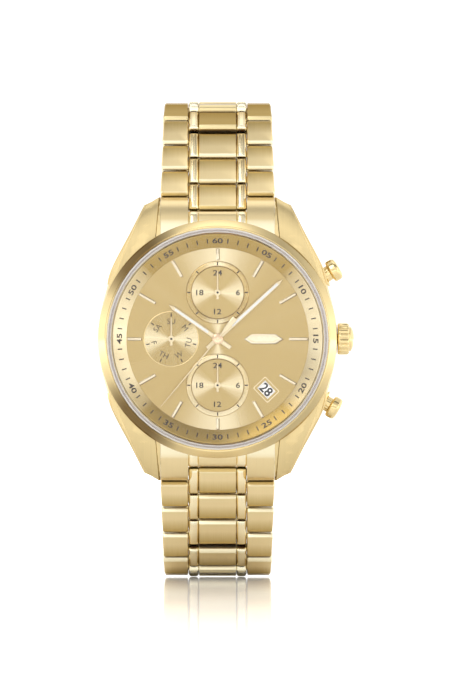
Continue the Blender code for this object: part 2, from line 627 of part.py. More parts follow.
def build_hands():
    for name, shape, tube, low in (("hour_hand", HOUR_HAND, HOUR_TUBE, PLATE_HIGH + FIT),
                                   ("minute_hand", MINUTE_HAND, MINUTE_TUBE, PLATE_HIGH - FIT)):
        half = shape["width"] / 2
        plate = hand_plate(shape, [(half * TAIL_SCALE, -shape["tail"]), (half, 0),
                                   (half, shape["reach"] - HAND_SHOULDER), (0, shape["reach"])])
        inner, outer = tube
        top = hand_height(shape) + shape["plate"] + HUB_PROUD
        seat = hand_height(shape) - HAND_OVERLAP
        disc = outer + MAIN_HUB_RIM
        hub = turned([(0, low), (outer, low), (outer, seat), (disc, seat), (disc, top), (0, top)],
                     segments=SMALL_SEGMENTS)
        joined(plate, hub)
        cut(plate, cylinder(inner, (0, BEYOND - low, 0), (0, -top - BEYOND, 0), SMALL_SEGMENTS))
        set_hand(plate, name, shape, (0, 0, 0))
    build_chronograph_hand()
    half = SUB_HAND["width"] / 2
    tail_scale, middle_scale = SUB_SCALES
    for name, centre in (("upper_subdial_hand", (0, 0, SUBDIAL_OFFSET)),
                         ("lower_subdial_hand", (0, 0, -SUBDIAL_OFFSET)),
                         ("day_hand", (-SUBDIAL_OFFSET, 0, 0))):
        plate = hand_plate(SUB_HAND, [(half * tail_scale, -SUB_HAND["tail"]),
                                      (half * middle_scale, 0), (half, SUB_HAND["reach"])])
        top = hand_height(SUB_HAND) + SUB_HAND["plate"] + HUB_PROUD
        low = DIAL_TOP - DIAL_THICKNESS - ARBOR_BELOW_DIAL
        seat = hand_height(SUB_HAND) - HAND_OVERLAP
        hub = turned([(0, low), (ARBOR_RADIUS, low), (ARBOR_RADIUS, seat), (SUB_HUB_RADIUS, seat),
                      (SUB_HUB_RADIUS, top), (0, top)], segments=SMALL_SEGMENTS // 2)
        joined(plate, hub)
        set_hand(plate, name, SUB_HAND, centre)


def build_chronograph_hand():
    shape = CHRONO_HAND
    half, tail_half = shape["width"] / 2, CHRONO_TAIL_WIDTH / 2
    plate = hand_plate(shape, [(tail_half, -shape["tail"]), (tail_half, -shape["tail"] / 2),
                               (half, -CHRONO_WAIST), (half, shape["reach"] - CHRONO_TAPER),
                               (half / 2, shape["reach"])])
    low = PLATE_HIGH - ARBOR_BELOW_DIAL
    top = hand_height(shape) + shape["plate"] + CHRONO_CAP
    seat = hand_height(shape) - CHRONO_CAP / 2
    cap, crown = CHRONO_HUB
    hub = turned([(0, low), (ARBOR_RADIUS, low), (ARBOR_RADIUS, seat), (cap, seat),
                  (cap, top - CHRONO_CAP / 2), (crown, top), (0, top)], segments=SMALL_SEGMENTS)
    joined(plate, hub)
    set_hand(plate, "chronograph_hand", shape, (0, 0, 0))


# ---- Movement ----------------------------------------------------------------------------------
def build_movement():
    holder_top = DIAL_TOP - DIAL_THICKNESS - SEAT
    flange = CAVITY_RADIUS - FIT - SEAT
    low = CAVITY_FLOOR + SEAT
    flange_low = holder_top - HOLDER_FLANGE
    holder = turned([(HOLDER_INNER, low), (HOLDER_RADIUS, low), (HOLDER_RADIUS, flange_low),
                     (flange, flange_low), (flange, holder_top), (HOLDER_INNER, holder_top)])
    stem_hole = cylinder(STEM_RADIUS + 3 * FIT, (HOLDER_INNER - BEYOND, -CONTROL_H, 0),
                         (HOLDER_RADIUS + BEYOND, -CONTROL_H, 0), SMALL_SEGMENTS // 2)
    cut(holder, stem_hole)
    finished(holder, "movement_holder", "plastic")

    plate_radius = HOLDER_INNER - FIT
    plate = turned([(CENTRE_HOLE, PLATE_LOW), (plate_radius, PLATE_LOW), (plate_radius, PLATE_HIGH),
                    (CENTRE_HOLE, PLATE_HIGH)])
    battery_x, battery_z = BATTERY_AT
    well = cylinder(BATTERY_RADIUS + FIT, (battery_x, 0, battery_z),
                    (battery_x, -BATTERY_TOP - SEAT, battery_z), HEAD_SEGMENTS // 2)
    coil_x, coil_z = COIL_AT
    half_length = COIL_LENGTH / 2 + 2 * FIT
    cheek = COIL_CHEEK[0] + 2 * FIT
    coil_well = box((coil_x - half_length, -COIL_H - cheek, coil_z - cheek),
                    (coil_x + half_length, 0, coil_z + cheek))
    half_slot = STEM_SLOT_WIDTH / 2
    stem_slot = box((STEM_START - STEM_SLOT_END, -CONTROL_H - STEM_SLOT_RISE, -half_slot),
                    (plate_radius + BEYOND, 0, half_slot))
    cut(plate, well, coil_well, stem_slot)
    finished(plate, "movement_plate", "steel")

    inner, outer = DATE_DISC
    disc_low = PLATE_HIGH + FIT
    disc = turned([(inner, disc_low), (outer, disc_low), (outer, disc_low + DATE_DISC_THICKNESS),
                   (inner, disc_low + DATE_DISC_THICKNESS)])
    finished(disc, "date_disc", "white_print", (0, -disc_low, 0))

    board_high = PLATE_LOW - SEAT
    board_low = board_high - BOARD_THICKNESS
    board = turned([(CENTRE_HOLE, board_low), (BOARD_RADIUS, board_low), (BOARD_RADIUS, board_high),
                    (CENTRE_HOLE, board_high)])
    opening = cylinder(BATTERY_RADIUS + 3 * FIT, (battery_x, 0, battery_z),
                       (battery_x, -PLATE_HIGH, battery_z), HEAD_SEGMENTS // 2)
    cut(board, opening)
    finished(board, "circuit_board", "board")

    battery_low = BATTERY_TOP - BATTERY_THICKNESS
    step_in, step_out, step_height = BATTERY_STEP
    step_top = battery_low + step_height
    battery = turned([(0, battery_low), (BATTERY_RADIUS - step_in, battery_low),
                      (BATTERY_RADIUS - step_out, step_top), (BATTERY_RADIUS, step_top),
                      (BATTERY_RADIUS, BATTERY_TOP), (0, BATTERY_TOP)],
                     (battery_x, 0, battery_z), segments=HEAD_SEGMENTS // 2)
    finished(battery, "battery", "steel", (battery_x, -battery_low, battery_z))

    long, wide, thick = CLAMP_SIZE
    clamp_high = battery_low - SEAT
    clamp = box((-long / 2, -clamp_high, -wide / 2), (long / 2, thick - clamp_high, wide / 2))
    screw_radius, screw_head, screw_inset = CLAMP_SCREW
    for end in (1, -1):
        screw_x = end * (long / 2 - screw_inset)
        screw = cylinder(screw_radius, (screw_x, screw_head + thick - clamp_high, 0),
                         (screw_x, thick / 2 - clamp_high, 0), SMALL_SEGMENTS // 2)
        joined(clamp, screw)
    turn = Matrix.Rotation(math.radians(CLAMP_TURN), 4, "Y")
    clamp.data.transform(Matrix.Translation((battery_x, 0, battery_z)) @ turn)
    finished(clamp, "battery_clamp", "steel")

    cheek_radius, cheek_width = COIL_CHEEK
    half = COIL_LENGTH / 2
    coil = turned([(0, -half), (cheek_radius, -half), (cheek_radius, cheek_width - half),
                   (COIL_RADIUS, cheek_width - half), (COIL_RADIUS, half - cheek_width),
                   (cheek_radius, half - cheek_width), (cheek_radius, half), (0, half)],
                  (coil_x, -COIL_H, coil_z), (1, 0, 0), SMALL_SEGMENTS // 2)
    finished(coil, "drive_coil", "copper")


# ---- Crown and pushers -------------------------------------------------------------------------
def build_crown():
    count = 2 * CROWN_FLUTES
    grip_end = CROWN_START + CROWN_GRIP
    edge_run, edge_drop = CROWN_EDGE
    shoulder_run, shoulder_drop = CROWN_SHOULDER
    dome_foot, dome_middle, dome_top = CROWN_DOME_RADII
    stations = ((CROWN_START, CROWN_RADIUS - edge_drop, 1),
                (CROWN_START + edge_run, CROWN_RADIUS, 1),
                (grip_end - shoulder_run, CROWN_RADIUS, 1),
                (grip_end, CROWN_RADIUS - shoulder_drop, SHOULDER_FLUTING),
                (grip_end + SEAT, dome_foot, 0),
                (grip_end + CROWN_DOME * CROWN_DOME_MIDDLE, dome_middle, 0),
                (grip_end + CROWN_DOME, dome_top, 0))
    sections = []
    for x, radius, fluting in stations:
        section = []
        for i in range(count):
            reach = radius - fluting * CROWN_FLUTE_DEPTH * (i % 2)
            turn = 2 * math.pi * i / count
            section.append((x, reach * math.cos(turn) - CONTROL_H, reach * math.sin(turn)))
        sections.append(section)
    crown = lofted(sections)
    mouth = cylinder(CROWN_TUBE_RADIUS + 2 * FIT, (CROWN_START - BEYOND, -CONTROL_H, 0),
                     (CROWN_START + CROWN_BORE_DEPTH, -CONTROL_H, 0), SMALL_SEGMENTS)
    thread = cylinder(STEM_RADIUS + SEAT, (CROWN_START, -CONTROL_H, 0),
                      (CROWN_START + STEM_IN_CROWN + SEAT, -CONTROL_H, 0), SMALL_SEGMENTS // 2)
    cut(crown, mouth, thread)
    finished(crown, "crown", "polished_gold", (CROWN_START, -CONTROL_H, 0), 25)

    groove_radius, groove_start, groove_width = STEM_GROOVE
    stem_end = CROWN_START + STEM_IN_CROWN
    stem = turned([(0, STEM_START), (STEM_RADIUS, STEM_START), (STEM_RADIUS, groove_start),
                   (groove_radius, groove_start), (groove_radius, groove_start + groove_width),
                   (STEM_RADIUS, groove_start + groove_width), (STEM_RADIUS, stem_end), (0, stem_end)],
                  (0, -CONTROL_H, 0), (1, 0, 0), SMALL_SEGMENTS // 2)
    finished(stem, "crown_stem", "steel", (STEM_START, -CONTROL_H, 0))

    thick, wide, tall = LEVER_SIZE
    middle = groove_start + groove_width / 2
    lever = box((middle - thick / 2, -CONTROL_H - tall / 2 + LEVER_RISE, -wide / 2),
                (middle + thick / 2, -CONTROL_H + tall / 2 + LEVER_RISE, wide / 2))
    half = groove_radius + FIT
    mouth = box((middle - thick, -CONTROL_H - tall, -half),
                (middle + thick, -CONTROL_H + half, half))
    cut(lever, mouth)
    finished(lever, "setting_lever", "steel", (middle, -CONTROL_H, 0))

    bore = STEM_RADIUS + FIT
    tube = turned([(bore, CROWN_TUBE_START), (CROWN_TUBE_RADIUS, CROWN_TUBE_START),
                   (CROWN_TUBE_RADIUS, CROWN_TUBE_END), (bore, CROWN_TUBE_END)],
                  (0, -CONTROL_H, 0), (1, 0, 0), SMALL_SEGMENTS)
    finished(tube, "crown_tube", "steel")


def build_pushers():
    for name, side_of in (("upper", 1), ("lower", -1)):
        base = (0, -CONTROL_H, 0)
        direction = dial_point(1, 90 - side_of * PUSHER_ANGLE, 0)
        cap_back = PUSHER_CAP_FACE - PUSHER_CAP_THICKNESS
        barrel_start = COLLAR_FACE - PUSHER_BARREL_HELD
        edge_in, edge_run = PUSHER_CAP_BACK_EDGE
        rounding = [(PUSHER_CAP_RADIUS - inset, PUSHER_CAP_FACE - below)
                    for inset, below in PUSHER_CAP_ROUNDING]
        pusher = turned([(0, PUSHER_STEM_START), (PUSHER_STEM_RADIUS, PUSHER_STEM_START),
                         (PUSHER_STEM_RADIUS, barrel_start), (PUSHER_BARREL_RADIUS, barrel_start),
                         (PUSHER_BARREL_RADIUS, cap_back), (PUSHER_CAP_RADIUS - edge_in, cap_back),
                         (PUSHER_CAP_RADIUS, cap_back + edge_run), *rounding, (0, PUSHER_CAP_FACE)],
                        base, direction, SMALL_SEGMENTS)
        origin = dial_point(COLLAR_FACE, 90 - side_of * PUSHER_ANGLE, CONTROL_H)
        finished(pusher, name + "_pusher", "polished_gold", origin)
        shoulder = barrel_start - PUSHER_STROKE - FIT
        flange = COLLAR_FACE - COLLAR_FLANGE
        collar = turned([(PUSHER_STEM_RADIUS + FIT, COLLAR_START), (COLLAR_TUBE_RADIUS, COLLAR_START),
                         (COLLAR_TUBE_RADIUS, flange), (COLLAR_FLANGE_RADIUS, flange),
                         (COLLAR_FLANGE_RADIUS - COLLAR_EDGE, COLLAR_FACE),
                         (PUSHER_BARREL_RADIUS + FIT, COLLAR_FACE),
                         (PUSHER_BARREL_RADIUS + FIT, shoulder), (PUSHER_STEM_RADIUS + FIT, shoulder)],
                        base, direction, SMALL_SEGMENTS)
        finished(collar, name + "_pusher_collar", "polished_gold")


# ---- Bracelet ----------------------------------------------------------------------------------
def chain(side):
    """The hinge points from the case to the clasp on one side of the case (1 for 12 o'clock, -1
    for 6 o'clock), and each link's direction and outward direction."""
    h, z = FIRST_HINGE
    point = Vector((0, -h, side * z))
    angle = 0.0
    hinges, directions = [point], []
    for bend in CLOSED_BENDS:
        angle += math.radians(bend)
        along = Vector((0, math.sin(angle), side * math.cos(angle)))
        outward = Vector((0, -math.cos(angle), side * math.sin(angle)))
        directions.append((along, outward))
        point = point + PITCH * along
        hinges.append(point)
    return hinges, directions


def link_outline(span):
    """One piece of a link seen from its side: bevelled ends outside, cut back on the wrist side."""
    start, end = span
    run, drop = LINK_BEVEL
    return [(start + run, LINK_TOP), (end - run, LINK_TOP), (end, LINK_TOP - drop),
            (end, LINK_RELIEF_AT), (end - LINK_RELIEF, -LINK_LOW), (start + LINK_RELIEF, -LINK_LOW),
            (start, LINK_RELIEF_AT), (start, LINK_TOP - drop)]


def across(origin, along, outward, span, low, high):
    """A link piece between two places on the bracelet's width."""
    sign = 1 if along.cross(outward).x > 0 else -1
    ends = sorted((sign * low, sign * high))
    return extruded(link_outline(span), origin, along, outward, *ends)


def row_width(row):
    return BRACELET_WIDTH - TAPER * row


def build_link(name, hinge, next_hinge, along, outward, width):
    half = CENTRE_WIDTH / 2
    inner, outer = half + SIDE_GAP, width / 2
    link = across(hinge, along, outward, CENTRE_SPAN, -half, half)
    sideways = Vector((1, 0, 0))
    past = (half + BEYOND) * sideways
    cut(link, cylinder(PIN_RADIUS + FIT, hinge - past, hinge + past))
    bar = hinge + LINK_BAR_AT * along
    overlap = outer - PIN_COVER
    joined(link,
           cylinder(PIN_RADIUS, bar - overlap * sideways, bar + overlap * sideways),
           across(hinge, along, outward, OUTER_SPAN, inner, outer),
           across(hinge, along, outward, OUTER_SPAN, -outer, -inner),
           cylinder(PIN_RADIUS, next_hinge - overlap * sideways, next_hinge + overlap * sideways))
    finished(link, name, "brushed_gold", hinge)


def build_end_link(name, side):
    """The fixed link between the lugs: its middle ends at the first moving link's centre piece."""
    hinge_h, hinge_z = FIRST_HINGE
    upper = []
    for step in range(END_LINK_STEPS + 1):
        z, h = lug_curve(END_LINK_START + (90 - END_LINK_START) * step / END_LINK_STEPS)
        upper.append((z, h - END_LINK_DROP))
    low = hinge_h - LINK_LOW
    foot_in, foot_up = END_LINK_FOOT
    outline = upper + [(LUG_REACH, low + END_LINK_EDGE), (LUG_REACH - END_LINK_EDGE, low),
                       (CASE_ARC_RADIUS - foot_in, low + foot_up)]
    half = END_LINK_WIDTH / 2
    link = extruded([(side * z, h) for z, h in outline], (0, 0, 0), (0, 0, 1), (0, -1, 0),
                    -half, half)
    middle = CENTRE_WIDTH / 2 + SIDE_GAP
    gap_start = hinge_z + CENTRE_SPAN[0] - SIDE_GAP
    near, far = sorted((side * gap_start, side * (LUG_REACH + BEYOND)))
    case_round = cylinder(CASE_ARC_RADIUS + FIT, (0, BEYOND, 0), (0, -CASE_TOP - BEYOND, 0),
                          HEAD_SEGMENTS)
    cut(link, box((-middle, -CASE_TOP, near), (middle, BEYOND, far)), case_round)
    bar_h, bar_z = SPRING_BAR_AT
    past = half + BEYOND
    bar_bore = cylinder(SPRING_BAR_RADIUS + SEAT, (-past, -bar_h, side * bar_z),
                        (past, -bar_h, side * bar_z))
    pin_end = half - PIN_COVER
    pin = cylinder(PIN_RADIUS, (-pin_end, -hinge_h, side * hinge_z), (pin_end, -hinge_h, side * hinge_z))
    cut(link, bar_bore)
    joined(link, pin)
    finished(link, name, "brushed_gold")


def build_spring_bar(name, side):
    bar_h, bar_z = SPRING_BAR_AT
    tip_radius, tip_length = SPRING_BAR_TIP
    shoulder = END_LINK_WIDTH / 2 - FIT
    tip = LUG_GAP / 2 + tip_length
    bar = turned([(0, -tip), (tip_radius, -tip), (tip_radius, -shoulder), (SPRING_BAR_RADIUS, -shoulder),
                  (SPRING_BAR_RADIUS, shoulder), (tip_radius, shoulder), (tip_radius, tip), (0, tip)],
                 (0, -bar_h, side * bar_z), (1, 0, 0), PIN_SEGMENTS)
    finished(bar, name, "steel")


def build_bracelet():
    for name, side in (("upper", 1), ("lower", -1)):
        build_end_link(name + "_end_link", side)
        build_spring_bar(name + "_spring_bar", side)
        hinges, directions = chain(side)
        for row, (along, outward) in enumerate(directions):
            build_link(f"{name}_link_{row + 1:02d}", hinges[row], hinges[row + 1], along, outward,
                       row_width(row))


# ---- Clasp -------------------------------------------------------------------------------------
def clasp_length():
    return chain(1)[0][-1].z - chain(-1)[0][-1].z


def cover_hinge():
    back, n = COVER_HINGE
    return clasp_length() - back, n


def button_v():
    return clasp_length() - BUTTON_BACK


def clasp_point(x, v, n):
    """A point of the clasp, whose plates bulge away from the wrist between its two hinges."""
    start = chain(1)[0][-1]
    half = clasp_length() / 2
    bulge = CLASP_BULGE * (1 - ((v - half) / half) ** 2)
    return Vector((x, start.y + n + bulge, start.z - v))


def clasp_sweep(section, span, steps):
    """A cross-section of (x, n) points carried along the clasp's curve."""
    start, end = span
    stations = [start + (end - start) * step / steps for step in range(steps + 1)]
    return lofted([[clasp_point(x, v, n) for x, n in section] for v in stations])


def clasp_bar(radius, v, n, low, high, segments=PIN_SEGMENTS):
    return cylinder(radius, clasp_point(low, v, n), clasp_point(high, v, n), segments)


def rectangle(half_width, low, high):
    return [(-half_width, low), (half_width, low), (half_width, high), (-half_width, high)]


def build_clasp_cover():
    half = COVER_WIDTH / 2
    inner = half - COVER_WALL
    plate_low, plate_high = COVER_PLATE
    corner = plate_high - COVER_EDGE
    channel = [(-half, COVER_WALL_LOW), (-inner, COVER_WALL_LOW), (-inner, plate_low),
               (inner, plate_low), (inner, COVER_WALL_LOW), (half, COVER_WALL_LOW), (half, corner),
               (half - COVER_EDGE, plate_high), (COVER_EDGE - half, plate_high), (-half, corner)]
    cover = clasp_sweep(channel, (COVER_START, clasp_length() - COVER_END_GAP), COVER_STEPS)
    tongue_half = CENTRE_WIDTH / 2
    tongue = clasp_sweep(rectangle(tongue_half, -COVER_TONGUE_HALF, COVER_TONGUE_HALF), COVER_TONGUE, 1)
    end_wall = clasp_sweep(rectangle(inner + COVER_WALL / 2, -COVER_TONGUE_HALF, corner),
                           (COVER_START + FIT, COVER_TONGUE[1]), 1)
    joined(cover, end_wall, tongue)
    past = tongue_half + BEYOND
    cut(cover, clasp_bar(PIN_RADIUS + FIT, 0, 0, -past, past))
    button_long, button_tall = BUTTON_SIZE
    hole_low = BUTTON_N - button_tall / 2 - FIT
    hole_high = BUTTON_N + button_tall / 2 + FIT
    hole_reach = button_long / 2 + FIT
    hole_span = (button_v() - hole_reach, button_v() + hole_reach)
    cut(cover, clasp_sweep(rectangle(half + BEYOND, hole_low, hole_high), hole_span, 1))
    pin_end = half - COVER_WALL / 2
    joined(cover, clasp_bar(PIN_RADIUS, *cover_hinge(), -pin_end, pin_end))
    finished(cover, "clasp_cover", "brushed_gold", chain(1)[0][-1])


def build_clasp_blades():
    half = OUTER_BLADE_WIDTH / 2
    cover_v, cover_n = cover_hinge()
    blade_v, blade_n = BLADE_HINGE
    outer = clasp_sweep(rectangle(half, *OUTER_BLADE), (OUTER_BLADE_EAR_SPAN[0], cover_v),
                        BLADE_STEPS)
    joined(outer, clasp_bar(EYE_RADIUS, cover_v, cover_n, -half, half, SMALL_SEGMENTS // 2))
    past = half + BEYOND
    cut(outer, clasp_bar(PIN_RADIUS + FIT, cover_v, cover_n, -past, past))
    ear_top = OUTER_BLADE[1] - OUTER_BLADE_EAR_DROP
    ear = [(half - OUTER_BLADE_EAR, OUTER_BLADE_EAR_LOW), (half, OUTER_BLADE_EAR_LOW),
           (half, ear_top), (half - OUTER_BLADE_EAR, ear_top)]
    joined(outer, clasp_sweep(ear, OUTER_BLADE_EAR_SPAN, 1),
           clasp_sweep([(-x, n) for x, n in ear], OUTER_BLADE_EAR_SPAN, 1))
    pin_end = half - OUTER_BLADE_EAR / 2
    joined(outer, clasp_bar(BLADE_PIN_RADIUS, blade_v, blade_n, -pin_end, pin_end))
    finished(outer, "clasp_outer_blade", "polished_gold", clasp_point(0, cover_v, cover_n))

    inner_half = half - OUTER_BLADE_EAR - 2 * FIT
    end = clasp_length() - INNER_BLADE_END_GAP
    inner = clasp_sweep(rectangle(inner_half, *INNER_BLADE), (blade_v, end), BLADE_STEPS)
    eye = clasp_bar(EYE_RADIUS, blade_v, blade_n, -inner_half, inner_half, SMALL_SEGMENTS // 2)
    joined(inner, eye)
    cut(inner, clasp_bar(BLADE_PIN_RADIUS + FIT, blade_v, blade_n, -past, past))
    finished(inner, "clasp_inner_blade", "polished_gold", clasp_point(0, blade_v, blade_n))


def build_clasp_buttons():
    half = COVER_WIDTH / 2
    long, tall = BUTTON_SIZE
    wall = half - COVER_WALL - FIT
    back, face = wall - BUTTON_FLANGE_THICKNESS, half + BUTTON_PROUD
    for name, side in (("left", -1), ("right", 1)):
        pieces = []
        for x1, x2, rim in ((back, face, 0), (back, wall, BUTTON_FLANGE)):
            low, high = BUTTON_N - tall / 2 - rim, BUTTON_N + tall / 2 + rim
            section = [(side * x1, low), (side * x2, low), (side * x2, high), (side * x1, high)]
            reach = long / 2 + rim
            pieces.append(clasp_sweep(section, (button_v() - reach, button_v() + reach), 1))
        button = joined(*pieces)
        origin = clasp_point(side * half, button_v(), BUTTON_N)
        finished(button, f"clasp_button_{name}", "polished_gold", origin)


def main():
    clear_scene()
    build_case()
    build_case_back()
    build_bezel_and_crystal()
    build_dial()
    build_hands()
    build_movement()
    build_crown()
    build_pushers()
    build_bracelet()
    build_clasp_cover()
    build_clasp_blades()
    build_clasp_buttons()


main()
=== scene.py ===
"""Looks of a gold-tone chronograph wristwatch: its studio, its finishes and its finely made pieces.

Lengths are millimetres in the shape functions and metres in the finished meshes. The dial faces -Y,
12 o'clock is +Z and 3 o'clock is +X. Heights ("h") are measured from the case back towards the dial,
and clock angles run clockwise from 12.
"""

import json
import math

import bpy
import numpy as np
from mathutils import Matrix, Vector


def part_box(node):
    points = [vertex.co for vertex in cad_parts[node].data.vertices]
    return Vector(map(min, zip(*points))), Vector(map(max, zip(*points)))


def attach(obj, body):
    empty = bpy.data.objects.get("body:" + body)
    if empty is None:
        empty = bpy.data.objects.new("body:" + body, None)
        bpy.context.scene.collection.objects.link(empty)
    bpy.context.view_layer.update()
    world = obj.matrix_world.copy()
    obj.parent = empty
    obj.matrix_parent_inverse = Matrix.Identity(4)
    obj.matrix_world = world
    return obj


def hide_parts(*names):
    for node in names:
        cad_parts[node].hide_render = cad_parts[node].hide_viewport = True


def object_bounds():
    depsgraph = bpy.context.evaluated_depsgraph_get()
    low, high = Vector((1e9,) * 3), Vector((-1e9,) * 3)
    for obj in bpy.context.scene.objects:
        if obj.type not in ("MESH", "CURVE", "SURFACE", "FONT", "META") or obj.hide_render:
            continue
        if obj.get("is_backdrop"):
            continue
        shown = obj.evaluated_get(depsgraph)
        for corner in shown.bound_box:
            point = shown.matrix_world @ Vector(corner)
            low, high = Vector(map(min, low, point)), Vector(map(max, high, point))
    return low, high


bl_info = {
    "name": "Chronograph Wristwatch",
    "version": (1, 0, 0),
    "blender": (4, 5, 0),
    "location": "View3D > Sidebar > Watch",
    "description": "Builds the visible pieces and finishes of a chronograph wristwatch",
    "category": "Object",
}

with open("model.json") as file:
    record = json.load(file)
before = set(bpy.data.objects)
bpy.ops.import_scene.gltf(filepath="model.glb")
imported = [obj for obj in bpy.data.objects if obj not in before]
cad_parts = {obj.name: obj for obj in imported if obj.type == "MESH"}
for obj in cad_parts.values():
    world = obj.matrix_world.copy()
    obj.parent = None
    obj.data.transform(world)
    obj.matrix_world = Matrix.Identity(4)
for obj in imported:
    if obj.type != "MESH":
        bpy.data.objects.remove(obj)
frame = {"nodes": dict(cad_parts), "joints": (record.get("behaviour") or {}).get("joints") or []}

MM = 0.001
CASE = "case"
RIGHT = np.array((1.0, 0.0, 0.0))
FRONT = np.array((0.0, -1.0, 0.0))
UP = np.array((0.0, 0.0, 1.0))


def node_box(node):
    """A node's lowest and highest corners in millimetres."""
    low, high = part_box(node)
    return np.array(low) / MM, np.array(high) / MM


def joint(name):
    return next(item for item in frame["joints"] if item["name"] == name)


def joint_place(name):
    return np.array(joint(name)["pos_m"]) / MM


DIAL_H = 7.2
BEZEL_LOW, BEZEL_HIGH = node_box("bezel")
BEZEL_RADIUS = float(BEZEL_HIGH[0])
BEZEL_TOP_H = float(-BEZEL_LOW[1])
CRYSTAL_LOW, CRYSTAL_HIGH = node_box("crystal")
CRYSTAL_RADIUS = float(CRYSTAL_HIGH[0])
CRYSTAL_TOP_H = float(-CRYSTAL_LOW[1])
CRYSTAL_UNDER_H = float(-CRYSTAL_HIGH[1])
CHAPTER_LOW, CHAPTER_HIGH = node_box("chapter_ring")
CHAPTER_RADIUS = float(CHAPTER_HIGH[0])
CHAPTER_TOP_H = float(-CHAPTER_LOW[1])
SUBDIAL_OFFSET = float(joint_place("upper_subdial_hand_turn")[2])
CROWN_LOW, CROWN_HIGH = node_box("crown")
CONTROL_H = float(-(CROWN_LOW[1] + CROWN_HIGH[1]) / 2)
ROWS = sum(1 for item in frame["joints"] if item["name"].startswith("upper_link_"))
PITCH = float(np.linalg.norm(joint_place("upper_link_02_hinge") - joint_place("upper_link_01_hinge")))


# ---- Settings ------------------------------------------------------------------------------------
def colour(name, description, default):
    return bpy.props.FloatVectorProperty(name=name, description=description, subtype="COLOR",
                                         size=3, min=0.0, max=1.0, default=default)


def length(name, description, millimetres):
    return bpy.props.FloatProperty(name=name, description=description, subtype="DISTANCE",
                                   unit="LENGTH", precision=5, default=millimetres * MM)


def share(name, description, default):
    return bpy.props.FloatProperty(name=name, description=description, subtype="FACTOR",
                                   min=0.0, max=1.0, default=default)


class WatchFinish(bpy.types.PropertyGroup):
    """Colours and roughnesses of the watch's metals and prints."""

    gold: colour("Gold", "Plated case and bracelet", (0.84, 0.66, 0.335))
    dial: colour("Dial", "Sunray brushed dial", (0.555, 0.405, 0.165))
    # The ray colour is a painted highlight on the dials.
    dial_ray: colour("Dial ray", "The dial's bright rays", (0.93, 0.80, 0.52))
    hand: colour("Hands", "Hands, batons and applied frames", (0.90, 0.68, 0.40))
    hub: colour("Hubs", "Centres and tails of the hands", (0.90, 0.66, 0.44))
    chapter: colour("Chapter ring", "Sloped ring round the dial", (0.47, 0.315, 0.085))
    printing: colour("Printing", "Numerals and ticks", (0.045, 0.024, 0.012))
    luminous: colour("Luminous", "Strips on the hour and minute hands", (0.93, 0.93, 0.90))
    brushed: share("Brushed roughness", "Roughness of the brushed faces", 0.34)
    polished: share("Polished roughness", "Roughness of the polished faces", 0.10)


class WatchDial(bpy.types.PropertyGroup):
    """Sizes of what is printed on the dial or applied to it."""

    chapter_numeral: length("Chapter numeral", "Height of the numerals on the chapter ring", 1.04)
    small_numeral: length("Subdial numeral", "Height of the subdials' numerals", 0.98)
    date_numeral: length("Date numeral", "Height of the date's numerals", 1.72)
    baton_width: length("Baton width", "Width of the applied hour batons", 0.56)
    baton_height: length("Baton height", "Height of the applied hour batons", 0.34)


class WatchStudio(bpy.types.PropertyGroup):
    """The floor, the light and the camera."""

    floor: colour("Floor", "Pale floor", (0.93, 0.93, 0.93))
    camera_distance: length("Camera distance", "From the dial to the camera", 3000.0)
    view_height: length("View height", "Height of the picture at the dial", 120.8)
    world_light: bpy.props.FloatProperty(
        name="World light", description="Strength of the surrounding light", min=0.0, default=1.35)
    key_light: bpy.props.FloatProperty(
        name="Key light", description="Strength of the large front light", unit="POWER",
        min=0.0, default=1.1)


# ---- Shader building -----------------------------------------------------------------------------
class Signal:
    """A number on its way through a material's nodes, reckoned with as a Python number is."""

    def __init__(self, finish, socket):
        self.finish = finish
        self.socket = socket

    def math(self, operation, *values):
        node = self.finish.node("ShaderNodeMath", {"operation": operation}, dict(enumerate(values)))
        return Signal(self.finish, node.outputs[0])

    def __add__(self, other):
        return self.math("ADD", self, other)

    def __radd__(self, other):
        return self.math("ADD", other, self)

    def __sub__(self, other):
        return self.math("SUBTRACT", self, other)

    def __rsub__(self, other):
        return self.math("SUBTRACT", other, self)

    def __mul__(self, other):
        return self.math("MULTIPLY", self, other)

    def __rmul__(self, other):
        return self.math("MULTIPLY", other, self)

    def __pow__(self, other):
        return self.math("POWER", self, other)

    def __abs__(self):
        return self.math("ABSOLUTE", self)

    def sine(self):
        return self.math("SINE", self)

    def clamped(self):
        return self.math("MINIMUM", self.math("MAXIMUM", self, 0.0), 1.0)

    def step(self, start, end):
        """0 below start, 1 above end, and a straight ramp between."""
        return ((self - start) * (1.0 / (end - start))).clamped()


